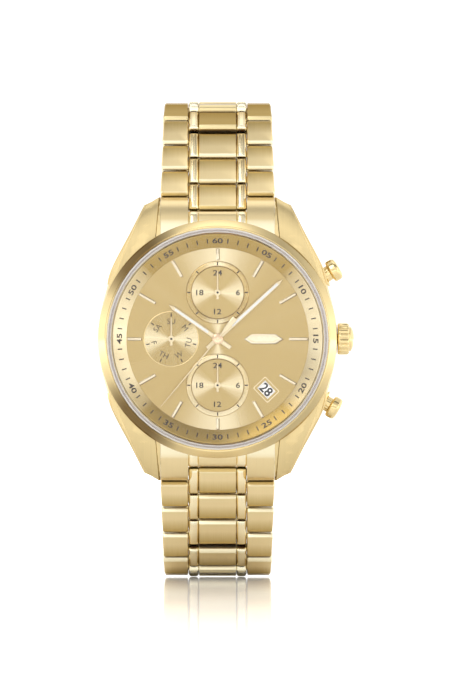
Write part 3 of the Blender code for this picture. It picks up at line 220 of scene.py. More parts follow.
class Finish:
    """A material: one shader, and the nodes that vary it over the surface."""

    def __init__(self, name, base, roughness, metallic=0.0, **constants):
        self.material = bpy.data.materials.new(name)
        self.material.use_nodes = True
        self.tree = self.material.node_tree
        self.shader = self.tree.nodes["Principled BSDF"]
        self.base = (*base, 1.0)
        self.set("Base Color", self.base)
        self.set("Roughness", roughness)
        self.set("Metallic", metallic)
        for socket, value in constants.items():
            self.set(socket.replace("_", " "), value)
        self.material.diffuse_color = self.base

    def set(self, socket, value):
        self.shader.inputs[socket].default_value = value

    def node(self, kind, settings=None, values=None):
        """A node with its settings, a ramp's stops among them, and its sockets' values or links."""
        made = self.tree.nodes.new(kind)
        for key, setting in (settings or {}).items():
            if key == "stops":
                elements = made.color_ramp.elements
                while len(elements) < len(setting):
                    elements.new(0.5)
                for element, (position, shade) in zip(elements, setting):
                    element.position = position
                    element.color = shade
            else:
                setattr(made, key, setting)
        for key, value in (values or {}).items():
            if isinstance(value, Signal):
                value = value.socket
            if isinstance(value, bpy.types.NodeSocket):
                self.tree.links.new(value, made.inputs[key])
            else:
                made.inputs[key].default_value = value
        return made

    def place(self, centre=(0.0, 0.0, 0.0)):
        """The surface's own coordinates in millimetres from a centre, as three numbers."""
        source = self.node("ShaderNodeTexCoord")
        moved = self.node("ShaderNodeVectorMath", {"operation": "MULTIPLY_ADD"},
                          {0: source.outputs["Object"], 1: (1 / MM,) * 3, 2: tuple(-c for c in centre)})
        split = self.node("ShaderNodeSeparateXYZ", None, {0: moved.outputs[0]})
        return [Signal(self, socket) for socket in split.outputs]

    def vector(self, x, y, z):
        return self.node("ShaderNodeCombineXYZ", None, {0: x, 1: y, 2: z}).outputs[0]

    def distance(self, x, y, z):
        """The length of the vector (x, y, z)."""
        made = self.node("ShaderNodeVectorMath", {"operation": "LENGTH"}, {0: self.vector(x, y, z)})
        return Signal(self, made.outputs["Value"])

    def noise(self, x, y, z, scale=1.0, detail=2.0, roughness=0.5):
        made = self.node("ShaderNodeTexNoise", None,
                         {"Vector": self.vector(x, y, z), "Scale": scale, "Detail": detail,
                          "Roughness": roughness})
        return Signal(self, made.outputs[0])

    def mixed(self, factor, first, second):
        """One colour turning into another by a factor."""
        made = self.node("ShaderNodeMix", {"data_type": "RGBA"}, {0: factor})
        for index, value in ((6, first), (7, second)):
            if isinstance(value, bpy.types.NodeSocket):
                self.tree.links.new(value, made.inputs[index])
            else:
                made.inputs[index].default_value = (*value[:3], 1.0)
        return made.outputs[2]

    def feed(self, socket, value):
        source = value.socket if isinstance(value, Signal) else value
        self.tree.links.new(source, self.shader.inputs[socket])

    def bump(self, height, strength, distance):
        made = self.node("ShaderNodeBump", None, {"Height": height, "Strength": strength,
                                                  "Distance": distance * MM})
        self.feed("Normal", made.outputs[0])

    def darker(self, amount):
        return tuple(channel * amount for channel in self.base[:3])


def finish_settings():
    return bpy.context.scene.watch_finish


def cached(name, build):
    """The material of that name, built the first time it is asked for."""
    return bpy.data.materials.get(name) or build(name)


def brushed_gold(name="brushed_gold", tone=1.0, relief=0.10):
    """Fine straight brushing along the bracelet: noise drawn out along Y and Z, close-set along X."""
    def build(title):
        settings = finish_settings()
        made = Finish(title, tuple(channel * tone for channel in settings.gold), settings.brushed, 1.0)
        x, y, z = made.place()
        coarse = made.noise(x * 5.0, y * 0.10, z * 0.10, detail=3.0)
        fine = made.noise(x * 26.0, y * 0.35, z * 0.35, detail=2.0)
        wear = made.noise(x * 0.35, y * 0.35, z * 0.35, detail=3.0)
        lines = coarse * 0.5 + fine * 0.5
        made.feed("Roughness", 0.24 + 0.16 * lines + 0.06 * wear)
        made.feed("Base Color", made.mixed(lines.step(0.30, 0.72), made.darker(0.93), made.darker(1.03)))
        made.bump(fine, relief, 0.02)
        return made.material
    return cached(name, build)


def polished_gold(name="polished_gold", base=None):
    """Mirror polish with faint handling marks in its roughness."""
    def build(title):
        settings = finish_settings()
        made = Finish(title, tuple(base or settings.gold), settings.polished, 1.0)
        x, y, z = made.place()
        haze = made.noise(x * 0.5, y * 0.5, z * 0.5, detail=4.0)
        marks = made.noise(x * 3.0, y * 0.4, z * 7.0, detail=4.0)
        made.feed("Roughness", 0.05 + 0.07 * haze + 0.05 * marks)
        made.feed("Base Color", made.mixed(haze, made.darker(0.97), made.darker(1.03)))
        return made.material
    return cached(name, build)


def run_gold(name, cream, light, deep, brushing):
    """Gold with light and shade painted along a piece's own "run" attribute: a cream painted highlight
    on the bevel where the run starts, a body that darkens with painted shade as it goes, and a brown
    painted shade line where it ends, at the gap to the next row."""
    def build(title):
        made = Finish(title, light, 0.30, 1.0)
        x, y, z = made.place()
        run = Signal(made, made.node("ShaderNodeAttribute", {"attribute_name": "run"}).outputs["Fac"])
        fine = made.noise(x * 26.0, y * 0.35, z * 0.35, detail=2.0)
        coarse = made.noise(x * 5.0, y * 0.10, z * 0.10, detail=3.0)
        lines = coarse * 0.5 + fine * 0.5
        # Painted shade: the body darkens from the light to the deep colour along the run, with the
        # brushing's lines mixed in.
        depth = run.step(0.42, 0.98) + (lines - 0.5) * (0.35 * brushing)
        body = made.mixed(depth.clamped(), light, deep)
        bevelled = made.mixed(run.step(0.115, 0.150), cream, body)
        # Painted shade: the brown line at the run's end stands for the shadow in the gap to the next
        # row; before it, the cream is a painted highlight on the starting bevel.
        made.feed("Base Color", made.mixed(run.step(0.952, 0.968), bevelled, (0.07, 0.030, 0.008)))
        made.feed("Roughness", 0.16 + 0.10 * brushing + 0.12 * lines)
        made.bump(fine, 0.08 * brushing, 0.02)
        return made.material
    return cached(name, build)


# The link and strip golds carry painted light and shade: a painted highlight, painted shade along the
# link and a painted gap shade.
def link_gold():
    return run_gold("link_gold", (1.0, 0.90, 0.62), (0.86, 0.69, 0.38), (0.48, 0.325, 0.092), 1.0)


def far_link_gold():
    """A darker copy of the link gold: painted shade for the rows that turn away over the top."""
    return run_gold("far_link_gold", (0.80, 0.66, 0.36), (0.42, 0.295, 0.105), (0.33, 0.205, 0.045), 1.0)


def strip_gold():
    return run_gold("strip_gold", (1.0, 0.92, 0.66), (0.98, 0.84, 0.54), (0.70, 0.52, 0.24), 0.0)


def hand_gilt():
    return polished_gold("hand_gilt", tuple(finish_settings().hand))


def bezel_gold(name="bezel_gold"):
    """Mirror polish with painted reflections in its colour: it darkens to brown towards the diagonals as
    painted dark reflections, most of all on the crown's far side: the product of the across and along
    shares of the direction from the middle."""
    def build(title):
        settings = finish_settings()
        made = Finish(title, tuple(settings.gold), settings.polished, 1.0)
        x, y, z = made.place()
        unit = made.node("ShaderNodeVectorMath", {"operation": "NORMALIZE"}, {0: made.vector(x, 0.0, z)})
        split = made.node("ShaderNodeSeparateXYZ", None, {0: unit.outputs[0]})
        across, along = Signal(made, split.outputs[0]), Signal(made, split.outputs[2])
        diagonal = abs(across * along)
        left = (0.0 - across).step(-0.05, 0.20)
        soft = diagonal.step(0.16, 0.46)
        deep = diagonal.step(0.33, 0.48) * left
        haze = made.noise(x * 0.5, y * 0.5, z * 0.5, detail=4.0)
        # Painted reflection: a lightened gold that darkens towards the diagonals, and a painted dark
        # brown reflection on the crown's far side.
        light = tuple(min(channel * 1.13, 1.0) for channel in settings.gold)
        warm = made.mixed(soft * (0.75 + 0.2 * haze), light, made.darker(0.58))
        made.feed("Base Color", made.mixed(deep * 0.90, warm, (0.155, 0.090, 0.026)))
        made.feed("Roughness", 0.06 + 0.08 * haze)
        return made.material
    return cached(name, build)


def sunray(name, centre, dark, ray, upright, sharpness, roughness):
    """Brushing that runs out from a centre: noise on the direction from it, and two opposite bright
    rays, upright or level, from the cosine of twice the clock angle. The rays are painted highlights:
    the brushing's reflection painted into the colour."""
    def build(title):
        made = Finish(title, dark, roughness, 1.0)
        x, _, z = made.place(centre)
        flat = made.vector(x, 0.0, z)
        unit = made.node("ShaderNodeVectorMath", {"operation": "NORMALIZE"}, {0: flat})
        split = made.node("ShaderNodeSeparateXYZ", None, {0: unit.outputs[0]})
        across, along = Signal(made, split.outputs[0]), Signal(made, split.outputs[2])
        fine = made.noise(across * 45.0, 0.0, along * 45.0, detail=2.0, roughness=0.5)
        broad = made.noise(across * 4.0, 3.0, along * 4.0, detail=2.0)
        turn = along * along - across * across
        if not upright:
            turn = 0.0 - turn
        # Painted highlight: the bright rays stand for the light the radial brushing reflects.
        rays = (turn.clamped() ** sharpness) * (0.75 + 0.5 * broad)
        tone = (rays * 0.85 + (fine - 0.5) * 0.06 + (broad - 0.5) * 0.25).clamped()
        made.feed("Base Color", made.mixed(tone, dark, ray))
        made.feed("Roughness", roughness - 0.06 + 0.12 * fine)
        made.bump(fine, 0.015, 0.02)
        return made.material
    return cached(name, build)


def satin(name, base, roughness, metallic, grain=6.0, depth=0.05):
    """A plain satin or moulded surface with an even fine grain."""
    def build(title):
        made = Finish(title, base, roughness, metallic)
        x, y, z = made.place()
        grains = made.noise(x * grain, y * grain, z * grain, detail=3.0)
        made.feed("Roughness", roughness - 0.05 + 0.1 * grains)
        made.feed("Base Color", made.mixed(grains, made.darker(0.93), made.darker(1.05)))
        made.bump(grains, depth, 0.02)
        return made.material
    return cached(name, build)


def circular_grain(name, base, roughness, centre=(0.0, 0.0, 0.0)):
    """Turned metal: rings of noise by the distance from a centre."""
    def build(title):
        made = Finish(title, base, roughness, 1.0)
        x, _, z = made.place(centre)
        rings = made.noise(made.distance(x, 0.0, z) * 14.0, 0.0, 0.0, detail=3.0)
        made.feed("Roughness", roughness - 0.08 + 0.16 * rings)
        made.feed("Base Color", made.mixed(rings, made.darker(0.92), made.darker(1.05)))
        made.bump(rings, 0.12, 0.02)
        return made.material
    return cached(name, build)


def crystal_glass(name="crystal_glass"):
    """Clear flat glass whose bevel, outside a set radius, is painted greyer and more opaque: a painted
    reflection of the light it catches.
    """
    def build(title):
        made = Finish(title, (0.98, 0.97, 0.96), 0.03, 0.0, Specular_IOR_Level=0.5, IOR=1.5)
        x, _, z = made.place()
        edge = made.distance(x, 0.0, z).step(CRYSTAL_RADIUS - 0.34, CRYSTAL_RADIUS - 0.26)
        smear = made.noise(x * 0.3, 0.0, z * 0.3, detail=3.0)
        # Painted reflection: the bevel is greyer and more opaque.
        made.feed("Alpha", 0.03 + 0.28 * edge)
        made.feed("Roughness", 0.02 + 0.03 * smear)
        made.feed("Base Color", made.mixed(edge, (0.98, 0.98, 0.98), (0.48, 0.40, 0.38)))
        return made.material
    return cached(name, build)


def date_white(name="date_white"):
    """White lacquer with an even fine grain and a faint painted glow, which lifts it against the shade
    in the sunken window.
    """
    made = satin(name, (1.0, 1.0, 0.99), 0.5, 0.0)
    lacquer = made.node_tree.nodes["Principled BSDF"]
    # Painted light: a faint white glow.
    lacquer.inputs["Emission Color"].default_value = (1.0, 1.0, 1.0, 1.0)
    lacquer.inputs["Emission Strength"].default_value = 0.28
    return made


def printing(name="brown_print"):
    return satin(name, tuple(finish_settings().printing), 0.45, 0.0, grain=9.0, depth=0.02)


# ---- Shapes: arrays of points, worked out whole --------------------------------------------------
def basis(direction):
    """A unit direction and two unit directions square to it, right-handed."""
    along = np.array(direction, float) / np.linalg.norm(direction)
    helper = UP if abs(along @ UP) < 0.9 else RIGHT
    first = np.cross(helper, along)
    first /= np.linalg.norm(first)
    return along, first, np.cross(along, first)


def outward(points, faces):
    """Faces turned to point out of a closed shell, by the sign of its volume: the sum over
    triangle fans of the triple product of their corners."""
    volume = 0.0
    for group in faces:
        a = points[group[:, 0]]
        for k in range(1, group.shape[1] - 1):
            volume += np.einsum("ij,ij->", a, np.cross(points[group[:, k]], points[group[:, k + 1]]))
    return faces if volume > 0 else [group[:, ::-1] for group in faces]


def skin(rings, wrap=False):
    """A closed shell from rings of points (rows, around, 3). Each ring is joined to the next. The
    last joins the first with wrap, and otherwise both end rings close to their middles."""
    rows, around = rings.shape[:2]
    index = np.arange(rows * around).reshape(rows, around)
    low = index if wrap else index[:-1]
    high = np.roll(index, -1, axis=0) if wrap else index[1:]
    quads = np.stack((low, np.roll(low, -1, axis=1), np.roll(high, -1, axis=1), high), axis=-1)
    points = rings.reshape(-1, 3)
    faces = [quads.reshape(-1, 4)]
    if not wrap:
        ends = np.stack((rings[0].mean(axis=0), rings[-1].mean(axis=0)))
        first, last = index[0], index[-1]
        low_fan = np.stack((np.full(around, len(points)), np.roll(first, -1), first), axis=-1)
        high_fan = np.stack((np.full(around, len(points) + 1), last, np.roll(last, -1)), axis=-1)
        points = np.concatenate((points, ends))
        faces.append(np.concatenate((low_fan, high_fan)))
    return points, outward(points, faces)


def turned(profile, centre=(0, 0, 0), direction=FRONT, count=128, wrap=False, radius_change=None):
    """Rings of a turned shape: each (radius, distance) of the profile goes round the axis, the radius
    changed by a function of the angle and the distance where one is given."""
    along, first, second = basis(direction)
    profile = np.array(profile, float)
    angle = np.linspace(0, 2 * math.pi, count, endpoint=False)
    radius = np.repeat(profile[:, :1], count, axis=1)
    if radius_change:
        radius = radius + radius_change(angle[None, :], profile[:, 1:])
    circle = np.cos(angle)[:, None] * first + np.sin(angle)[:, None] * second
    rings = radius[:, :, None] * circle[None] + profile[:, 1][:, None, None] * along
    return skin(rings + np.array(centre, float), wrap)


def eased(profile, radius, steps=3):
    """A profile with each inner corner replaced by a short arc: points on the quadratic curve from
    a little before the corner to a little after it."""
    points = np.array(profile, float)
    made = [points[:1]]
    share_of = np.linspace(0, 1, steps + 1)[:, None]
    for before, corner, after in zip(points, points[1:], points[2:]):
        back, ahead = before - corner, after - corner
        reach = min(radius, np.linalg.norm(back) * 0.45, np.linalg.norm(ahead) * 0.45)
        start = corner + back / np.linalg.norm(back) * reach
        end = corner + ahead / np.linalg.norm(ahead) * reach
        made.append((1 - share_of) ** 2 * start + 2 * share_of * (1 - share_of) * corner
                    + share_of ** 2 * end)
    made.append(points[-1:])
    return np.concatenate(made)


def rounded_rectangle(half_a, half_b, corner, steps=5):
    """A rectangle's outline with round corners, as (n, 2) points."""
    turn = np.linspace(0, math.pi / 2, steps)
    arcs = []
    for quarter, (sa, sb) in enumerate(((1, 1), (-1, 1), (-1, -1), (1, -1))):
        angle = turn + quarter * math.pi / 2
        arcs.append(np.stack((sa * (half_a - corner) + corner * np.cos(angle),
                              sb * (half_b - corner) + corner * np.sin(angle)), axis=-1))
    return np.concatenate(arcs)


def pad(centre, axes, halves, corner, levels, crown=0.0):
    """A cushion-edged plate. Each level (inset along a, inset along b, height) is one rounded
    rectangle, and the upper ones sag by crown times the square of their distance along b."""
    first, second, normal = (np.array(axis, float) for axis in axes)
    half_a, half_b = halves
    rings = []
    for inset_a, inset_b, height in levels:
        low = min(half_a - inset_a, half_b - inset_b)
        rounding = min(max(corner - inset_a, 0.02), low * 0.95)
        outline = rounded_rectangle(half_a - inset_a, half_b - inset_b, rounding)
        sag = crown * (outline[:, 1:] / half_b) ** 2 * (height > 0)
        rings.append(outline[:, :1] * first + outline[:, 1:] * second + (height - sag) * normal)
    return skin(np.array(rings) + np.array(centre, float))


def blade(centre, along, normal, stations, height):
    """A hand's plate: sections with bevelled edges at each (distance, half width, thickness)."""
    along, normal = np.array(along, float), np.array(normal, float)
    side = np.cross(along, normal)
    rings = []
    for distance, half, thick in stations:
        edge = min(half * 0.45, 0.12)
        section = ((-half, 0), (half, 0), (half, thick * 0.35), (half - edge, thick),
                   (edge - half, thick), (-half, thick * 0.35))
        rings.append([distance * along + a * side + (height + n) * normal for a, n in section])
    return skin(np.array(rings) + np.array(centre, float))


def clock_axes(angle, outwards=True):
    """The unit directions to the right of and up a mark that stands at a clock angle."""
    turn = math.radians(angle)
    up = np.array((math.sin(turn), 0, math.cos(turn)))
    right = np.array((math.cos(turn), 0, -math.sin(turn)))
    return (right, up) if outwards else (-right, -up)


def clock_point(radius, angle, h=0.0, centre=(0, 0, 0)):
    turn = math.radians(angle)
    return np.array(centre, float) + np.array((radius * math.sin(turn), -h, radius * math.cos(turn)))


def lettering(text, height, stretch=1.0, weight=0.0, depth=0.02):
    """Characters as a flat shell centred on the origin, in the plane of a (right) and b (up)."""
    curve = bpy.data.curves.new("lettering", "FONT")
    curve.body = text
    curve.size = 1.0
    curve.extrude = 0.01
    curve.offset = weight
    curve.resolution_u = 3
    holder = bpy.data.objects.new("lettering", curve)
    bpy.context.scene.collection.objects.link(holder)
    mesh = bpy.data.meshes.new_from_object(holder.evaluated_get(bpy.context.evaluated_depsgraph_get()))
    mesh.calc_loop_triangles()
    points = np.empty(len(mesh.vertices) * 3)
    mesh.vertices.foreach_get("co", points)
    points = points.reshape(-1, 3)
    corners = np.empty(len(mesh.loop_triangles) * 3, dtype=np.int32)
    mesh.loop_triangles.foreach_get("vertices", corners)
    bpy.data.objects.remove(holder, do_unlink=True)
    bpy.data.curves.remove(curve)
    bpy.data.meshes.remove(mesh)
    low, high = points.min(axis=0), points.max(axis=0)
    scale = height / (high[1] - low[1])
    points = (points - (low + high) / 2) * (scale * stretch, scale, depth / 0.02)
    points, kept = merged(points)
    return points, [kept[corners].reshape(-1, 3)]


def merged(points):
    """Points with equal ones made one, and the new place of each old one."""
    keys = np.round(points, 5)
    unique, index = np.unique(keys, axis=0, return_inverse=True)
    return unique, index.ravel()


def placed(shell, centre, right, up, normal=FRONT):
    """A shell laid out in (right, up, normal) set at a place on the watch."""
    points, faces = shell
    turn = np.stack((right, up, normal))
    return points @ turn + np.array(centre, float), faces


def piece(name, parts, body, replaces=(), smooth=32.0):
    """One finished object from shells, each given with its material, in the place they have."""
    materials = []
    points, corners, totals, slots = [], [], [], []
    offset = 0
    for (shell_points, faces), material in parts:
        if material not in materials:
            materials.append(material)
        for group in faces:
            corners.append((group + offset).ravel())
            totals.append(np.full(len(group), group.shape[1]))
            slots.append(np.full(len(group), materials.index(material)))
        points.append(shell_points)
        offset += len(shell_points)
    points, corners = np.concatenate(points) * MM, np.concatenate(corners)
    totals, slots = np.concatenate(totals), np.concatenate(slots)
    mesh = bpy.data.meshes.new(name)
    mesh.vertices.add(len(points))
    mesh.vertices.foreach_set("co", points.ravel())
    mesh.loops.add(len(corners))
    mesh.loops.foreach_set("vertex_index", corners.astype(np.int32))
    mesh.polygons.add(len(totals))
    starts = np.concatenate(([0], np.cumsum(totals)[:-1]))
    mesh.polygons.foreach_set("loop_start", starts.astype(np.int32))
    for material in materials:
        mesh.materials.append(material)
    mesh.polygons.foreach_set("material_index", slots.astype(np.int32))
    mesh.update(calc_edges=True)
    if mesh.validate():
        raise RuntimeError(f"{name} isn't a sound mesh")
    mesh.shade_smooth()
    mesh.set_sharp_from_angle(angle=math.radians(smooth))
    made = bpy.data.objects.new(name, mesh)
    bpy.context.scene.collection.objects.link(made)
    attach(made, body)
    if replaces:
        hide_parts(*replaces)
    return made


def give(node, material):
    """Gives a node of the frame a finished material."""
    shown = frame["nodes"][node]
    if not shown.material_slots:
        shown.data.materials.append(material)
    for place in shown.material_slots:
        place.material = material


# ---- Operators -----------------------------------------------------------------------------------
class Maker:
    """What all the watch's operators share: they build, and say so."""

    bl_options = {"REGISTER", "UNDO"}

    def execute(self, context):
        self.build(context.scene)
        return {"FINISHED"}


class WATCH_OT_stage(Maker, bpy.types.Operator):
    """Makes the floor, the surrounding light, the lamps and the camera"""

    bl_idname = "watch.stage"
    bl_label = "Stage"

    def build(self, scene):
        studio = scene.watch_studio
        scene.view_settings.view_transform = "Standard"
        low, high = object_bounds()
        self.floor(scene, studio, low[2])
        self.world(scene, studio)
        self.lights(scene, studio)
        self.camera(scene, studio)

    def floor(self, scene, studio, level):
        half = 4.0
        mesh = bpy.data.meshes.new("floor")
        mesh.from_pydata([(-half, -half, level), (half, -half, level), (half, half, level),
                          (-half, half, level)], [], [(0, 1, 2, 3)])
        floor = bpy.data.objects.new("floor", mesh)
        scene.collection.objects.link(floor)
        glossy = Finish("floor_white", tuple(studio.floor), 0.16, 0.0, Specular_IOR_Level=0.42,
                        Emission_Strength=1.0)
        x, y, z = glossy.place()
        cloud = glossy.noise(x * 0.004, y * 0.004, z * 0.004)
        glossy.feed("Roughness", 0.045 + 0.02 * cloud)
        away = glossy.distance(x, y - 10.0, 0.0).step(0.0, 600.0)
        glossy.feed("Emission Color", glossy.mixed(away, (0.0, 0.0, 0.0), (0.75, 0.75, 0.75)))
        mesh.materials.append(glossy.material)
        floor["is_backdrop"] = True

    def world(self, scene, studio):
        """Pale light that falls off towards the zenith, with a dark ring round the front that draws
        a thin dark edge on every rounded piece. Behind the watch it is plain white."""
        world = bpy.data.worlds.new("studio")
        world.use_nodes = True
        nodes, links = world.node_tree.nodes, world.node_tree.links
        sky = nodes["Background"]
        sky.inputs["Strength"].default_value = studio.world_light
        source = nodes.new("ShaderNodeTexCoord")
        split = nodes.new("ShaderNodeSeparateXYZ")
        links.new(source.outputs["Generated"], split.inputs[0])

        def ramp(socket, stops):
            made = nodes.new("ShaderNodeValToRGB")
            while len(made.color_ramp.elements) < len(stops):
                made.color_ramp.elements.new(0.5)
            for element, (position, level) in zip(made.color_ramp.elements, stops):
                element.position = position
                element.color = (level, level, level, 1)
            links.new(socket, made.inputs[0])
            return made.outputs[0]

        def worked(operation, first, second=None):
            made = nodes.new("ShaderNodeMath")
            made.operation = operation
            for index, value in enumerate((first, second)):
                if isinstance(value, bpy.types.NodeSocket):
                    links.new(value, made.inputs[index])
                elif value is not None:
                    made.inputs[index].default_value = value
            return made.outputs[0]

        height = ramp(split.outputs["Z"], ((0.0, 1.0), (0.40, 1.0), (0.62, 0.80), (0.80, 0.62),
                                           (0.90, 0.70), (0.97, 1.0)))
        ahead = worked("MULTIPLY", split.outputs["Y"], -1.0)
        flags = ramp(ahead, ((0.0, 1.0), (0.26, 1.0), (0.32, 0.30), (0.46, 0.30), (0.58, 0.72),
                             (1.0, 0.72)))
        behind = ramp(split.outputs["Y"], ((0.35, 0.0), (0.75, 1.0)))
        light = worked("MAXIMUM", worked("MULTIPLY", height, flags), behind)
        links.new(light, sky.inputs["Color"])
        scene.world = world

    def lights(self, scene, studio):
        for name, place, size, power in (
                ("key_light", (-0.34, -0.62, 0.50), (0.42, 0.42), studio.key_light),
                ("side_light", (0.66, -0.40, 0.12), (0.25, 0.7), studio.key_light * 0.5),
                ("front_light", (0.0, -0.95, 0.36), (0.8, 0.16), studio.key_light * 0.25)):
            lamp = bpy.data.lights.new(name, "AREA")
            lamp.shape = "RECTANGLE"
            lamp.size, lamp.size_y = size
            lamp.energy = power
            light = bpy.data.objects.new(name, lamp)
            light.location = place
            light.rotation_euler = (-Vector(place)).to_track_quat("-Z", "Y").to_euler()
            scene.collection.objects.link(light)

    def camera(self, scene, studio):
        data = bpy.data.cameras.new("camera")
        data.sensor_fit = "VERTICAL"
        data.sensor_height = 36.0
        data.lens = data.sensor_height * studio.camera_distance / studio.view_height
        data.clip_start = 0.01
        data.clip_end = 20.0
        camera = bpy.data.objects.new("camera", data)
        camera.location = (0.00131, -studio.camera_distance + FRONT[1] * DIAL_H * MM, -0.00046)
        camera.rotation_euler = (math.pi / 2, 0.0, 0.0)
        scene.collection.objects.link(camera)
        scene.camera = camera


class WATCH_OT_case(Maker, bpy.types.Operator):
    """Finishes the case body, its back and what is fixed in its walls"""

    bl_idname = "watch.case"
    bl_label = "Case"

    def build(self, scene):
        give("case_body", brushed_gold())
        for name, across, along in (("upper_right_lug", 1, 1), ("upper_left_lug", -1, 1),
                                    ("lower_right_lug", 1, -1), ("lower_left_lug", -1, -1)):
            piece(name, self.lug(across, along), CASE, (), 40)
        give("case_back", circular_grain("back_gold", tuple(scene.watch_finish.gold), 0.26))
        give("crown_tube", circular_grain("plain_steel", (0.60, 0.60, 0.58), 0.28))
        for node in ("upper_spring_bar", "lower_spring_bar"):
            give(node, circular_grain("plain_steel", (0.60, 0.60, 0.58), 0.28))
        for node in ("case_back_gasket", "crystal_gasket"):
            give(node, satin("gasket_nylon", (0.50, 0.43, 0.41), 0.42, 0.0))


    def lug(self, across, along):
        """A brushed back with a polished bevel outside and a polished chamfer inside, the bevel painted
        a darker gold and the chamfer dark brown as painted shade. Each is a column between two edges
        that run from the bezel to the tip. The top falls on a quarter ellipse."""
        run = np.linspace(0, 1, 25)
        inner_z = 15.5 + 9.6 * run
        outer_z = 9.6 + 14.15 * run
        corner_z = np.array((9.5, 11.8, 14.41, 18.3, 20.15, 23.7))
        corner_x = np.array((19.47, 18.9, 17.8, 15.6, 14.75, 12.9))
        outer_x = np.polyval(np.polyfit(corner_z, corner_x, 4), outer_z) + 0.06
        inner_x = np.full_like(run, 10.1)

        def top(z):
            return 3.36 + 4.9 * np.sqrt(1 - np.clip((z - 14.0) / 11.15, 0, 1) ** 2)

        chamfer = 0.32 + 0.085 * np.clip(25.1 - inner_z, 0, 9)
        bevel = 0.42 + 0.10 * np.clip(20.5 - outer_z, 0, 11)
        chamfer_z = inner_z - 0.12 * chamfer
        bevel_z = outer_z + 0.05 * bevel
        edges = [(inner_x, inner_z, top(inner_z) - 0.62 * chamfer),
                 (inner_x + chamfer, chamfer_z, top(chamfer_z)),
                 (outer_x - bevel, bevel_z, top(bevel_z)),
                 (outer_x, outer_z, top(outer_z) - 0.85 * bevel)]
        # Painted shade: the bevel and the chamfer are darker copies of the polished gold.
        bright = polished_gold("bevel_gold", (0.72, 0.55, 0.27))
        dark = polished_gold("chamfer_gold", (0.34, 0.22, 0.07))
        metals = (dark, brushed_gold("lug_gold", 0.90, 0.03), bright)
        beneath = np.full_like(run, 2.6)
        columns = []
        for (x1, z1, h1), (x2, z2, h2), metal in zip(edges, edges[1:], metals):
            ring = [(x1, z1, h1), (x2, z2, h2), (x2, z2, beneath), (x1, z1, beneath)]
            points = np.array([(across * x, -h, along * z) for x, z, h in ring])
            columns.append((skin(points.transpose(2, 0, 1)), metal))
        return columns


class WATCH_OT_bezel(Maker, bpy.types.Operator):
    """Makes the polished sloping bezel and the flat bevelled crystal"""

    bl_idname = "watch.bezel"
    bl_label = "Bezel and crystal"

    def build(self, scene):
        low = float(-BEZEL_HIGH[1])
        bore = CRYSTAL_RADIUS + 0.35
        profile = eased([(bore, low + 0.4), (bore, BEZEL_TOP_H), (bore + 0.30, BEZEL_TOP_H),
                         (BEZEL_RADIUS, low + 0.45), (BEZEL_RADIUS - 0.12, low), (bore - 0.7, low),
                         (bore - 0.7, low + 0.4), (bore, low + 0.4)], 0.10)
        ring = turned(profile[:-1], count=192, wrap=True)
        piece("bezel_ring", [(ring, bezel_gold())], CASE, ["bezel"], 40)
        under = CRYSTAL_UNDER_H
        profile = eased([(0.3, under), (CRYSTAL_RADIUS, under), (CRYSTAL_RADIUS, CRYSTAL_TOP_H - 0.3),
                         (CRYSTAL_RADIUS - 0.32, CRYSTAL_TOP_H), (0.3, CRYSTAL_TOP_H)], 0.05)
        glass = turned(profile, count=192)
        piece("crystal_glass", [(glass, crystal_glass())], CASE, ["crystal"])


class WATCH_OT_chapter_ring(Maker, bpy.types.Operator):
    """Makes the sloped ring round the dial with its minute ticks and numerals"""

    bl_idname = "watch.chapter_ring"
    bl_label = "Chapter ring"

    inner = 16.1
    print_radius = 17.36

    def slope(self, radius):
        """The ring's height at a radius, and the unit normal's share outwards and to the front."""
        base = float(-CHAPTER_HIGH[1])
        start, end = base + 0.25, CHAPTER_TOP_H
        rise = (end - start) / (CHAPTER_RADIUS - 0.2 - self.inner)
        size = math.hypot(rise, 1)
        return start + (radius - self.inner) * rise, -rise / size, 1 / size

    def marked(self, shell, radius, angle, outwards=True):
        """A shell laid on the slope at a radius and a clock angle."""
        h, out, ahead = self.slope(radius)
        right, up = clock_axes(angle)
        normal = out * up + ahead * FRONT
        up_slope = np.cross(normal, right)
        if up_slope @ up < 0:
            up_slope = -up_slope
        if not outwards:
            right, up_slope = -right, -up_slope
        return placed(shell, clock_point(radius, angle, h) + 0.02 * normal, right, up_slope, normal)

    def build(self, scene):
        base = float(-CHAPTER_HIGH[1])
        profile = eased([(self.inner, base), (self.inner, base + 0.25),
                         (CHAPTER_RADIUS - 0.2, CHAPTER_TOP_H), (CHAPTER_RADIUS, CHAPTER_TOP_H),
                         (CHAPTER_RADIUS, base), (self.inner, base)], 0.05)
        ring = turned(profile[:-1], count=192, wrap=True)
        # Painted highlight: level bright rays in the chapter ring's colour.
        finish = sunray("chapter_gold", (0, 0, 0), tuple(scene.watch_finish.chapter),
                        (0.93, 0.80, 0.52), False, 0.6, 0.32)
        piece("chapter_ring_gold", [(ring, finish)], CASE, ["chapter_ring"], 40)
        ink = printing()
        height = scene.watch_dial.chapter_numeral / MM
        tick = pad((0, 0, 0), (RIGHT, (0, 1, 0), (0, 0, 1)), (0.105, 0.45), 0.02,
                   [(0, 0, 0), (0, 0, 0.02)])
        marks = []
        for minute in range(60):
            angle = 6.0 * minute
            if minute % 5:
                marks.append((self.marked(tick, self.print_radius, angle), ink))
                continue
            text = f"{minute or 60:02d}"
            outwards = not 20 <= minute <= 40
            shell = lettering(text, height, 1.40, 0.022)
            marks.append((self.marked(shell, self.print_radius, angle, outwards), ink))
        piece("chapter_printing", marks, CASE)


TICK = pad((0, 0, 0), ((1, 0, 0), (0, 1, 0), (0, 0, 1)), (0.10, 0.30), 0.02, [(0, 0, 0), (0, 0, 0.02)])


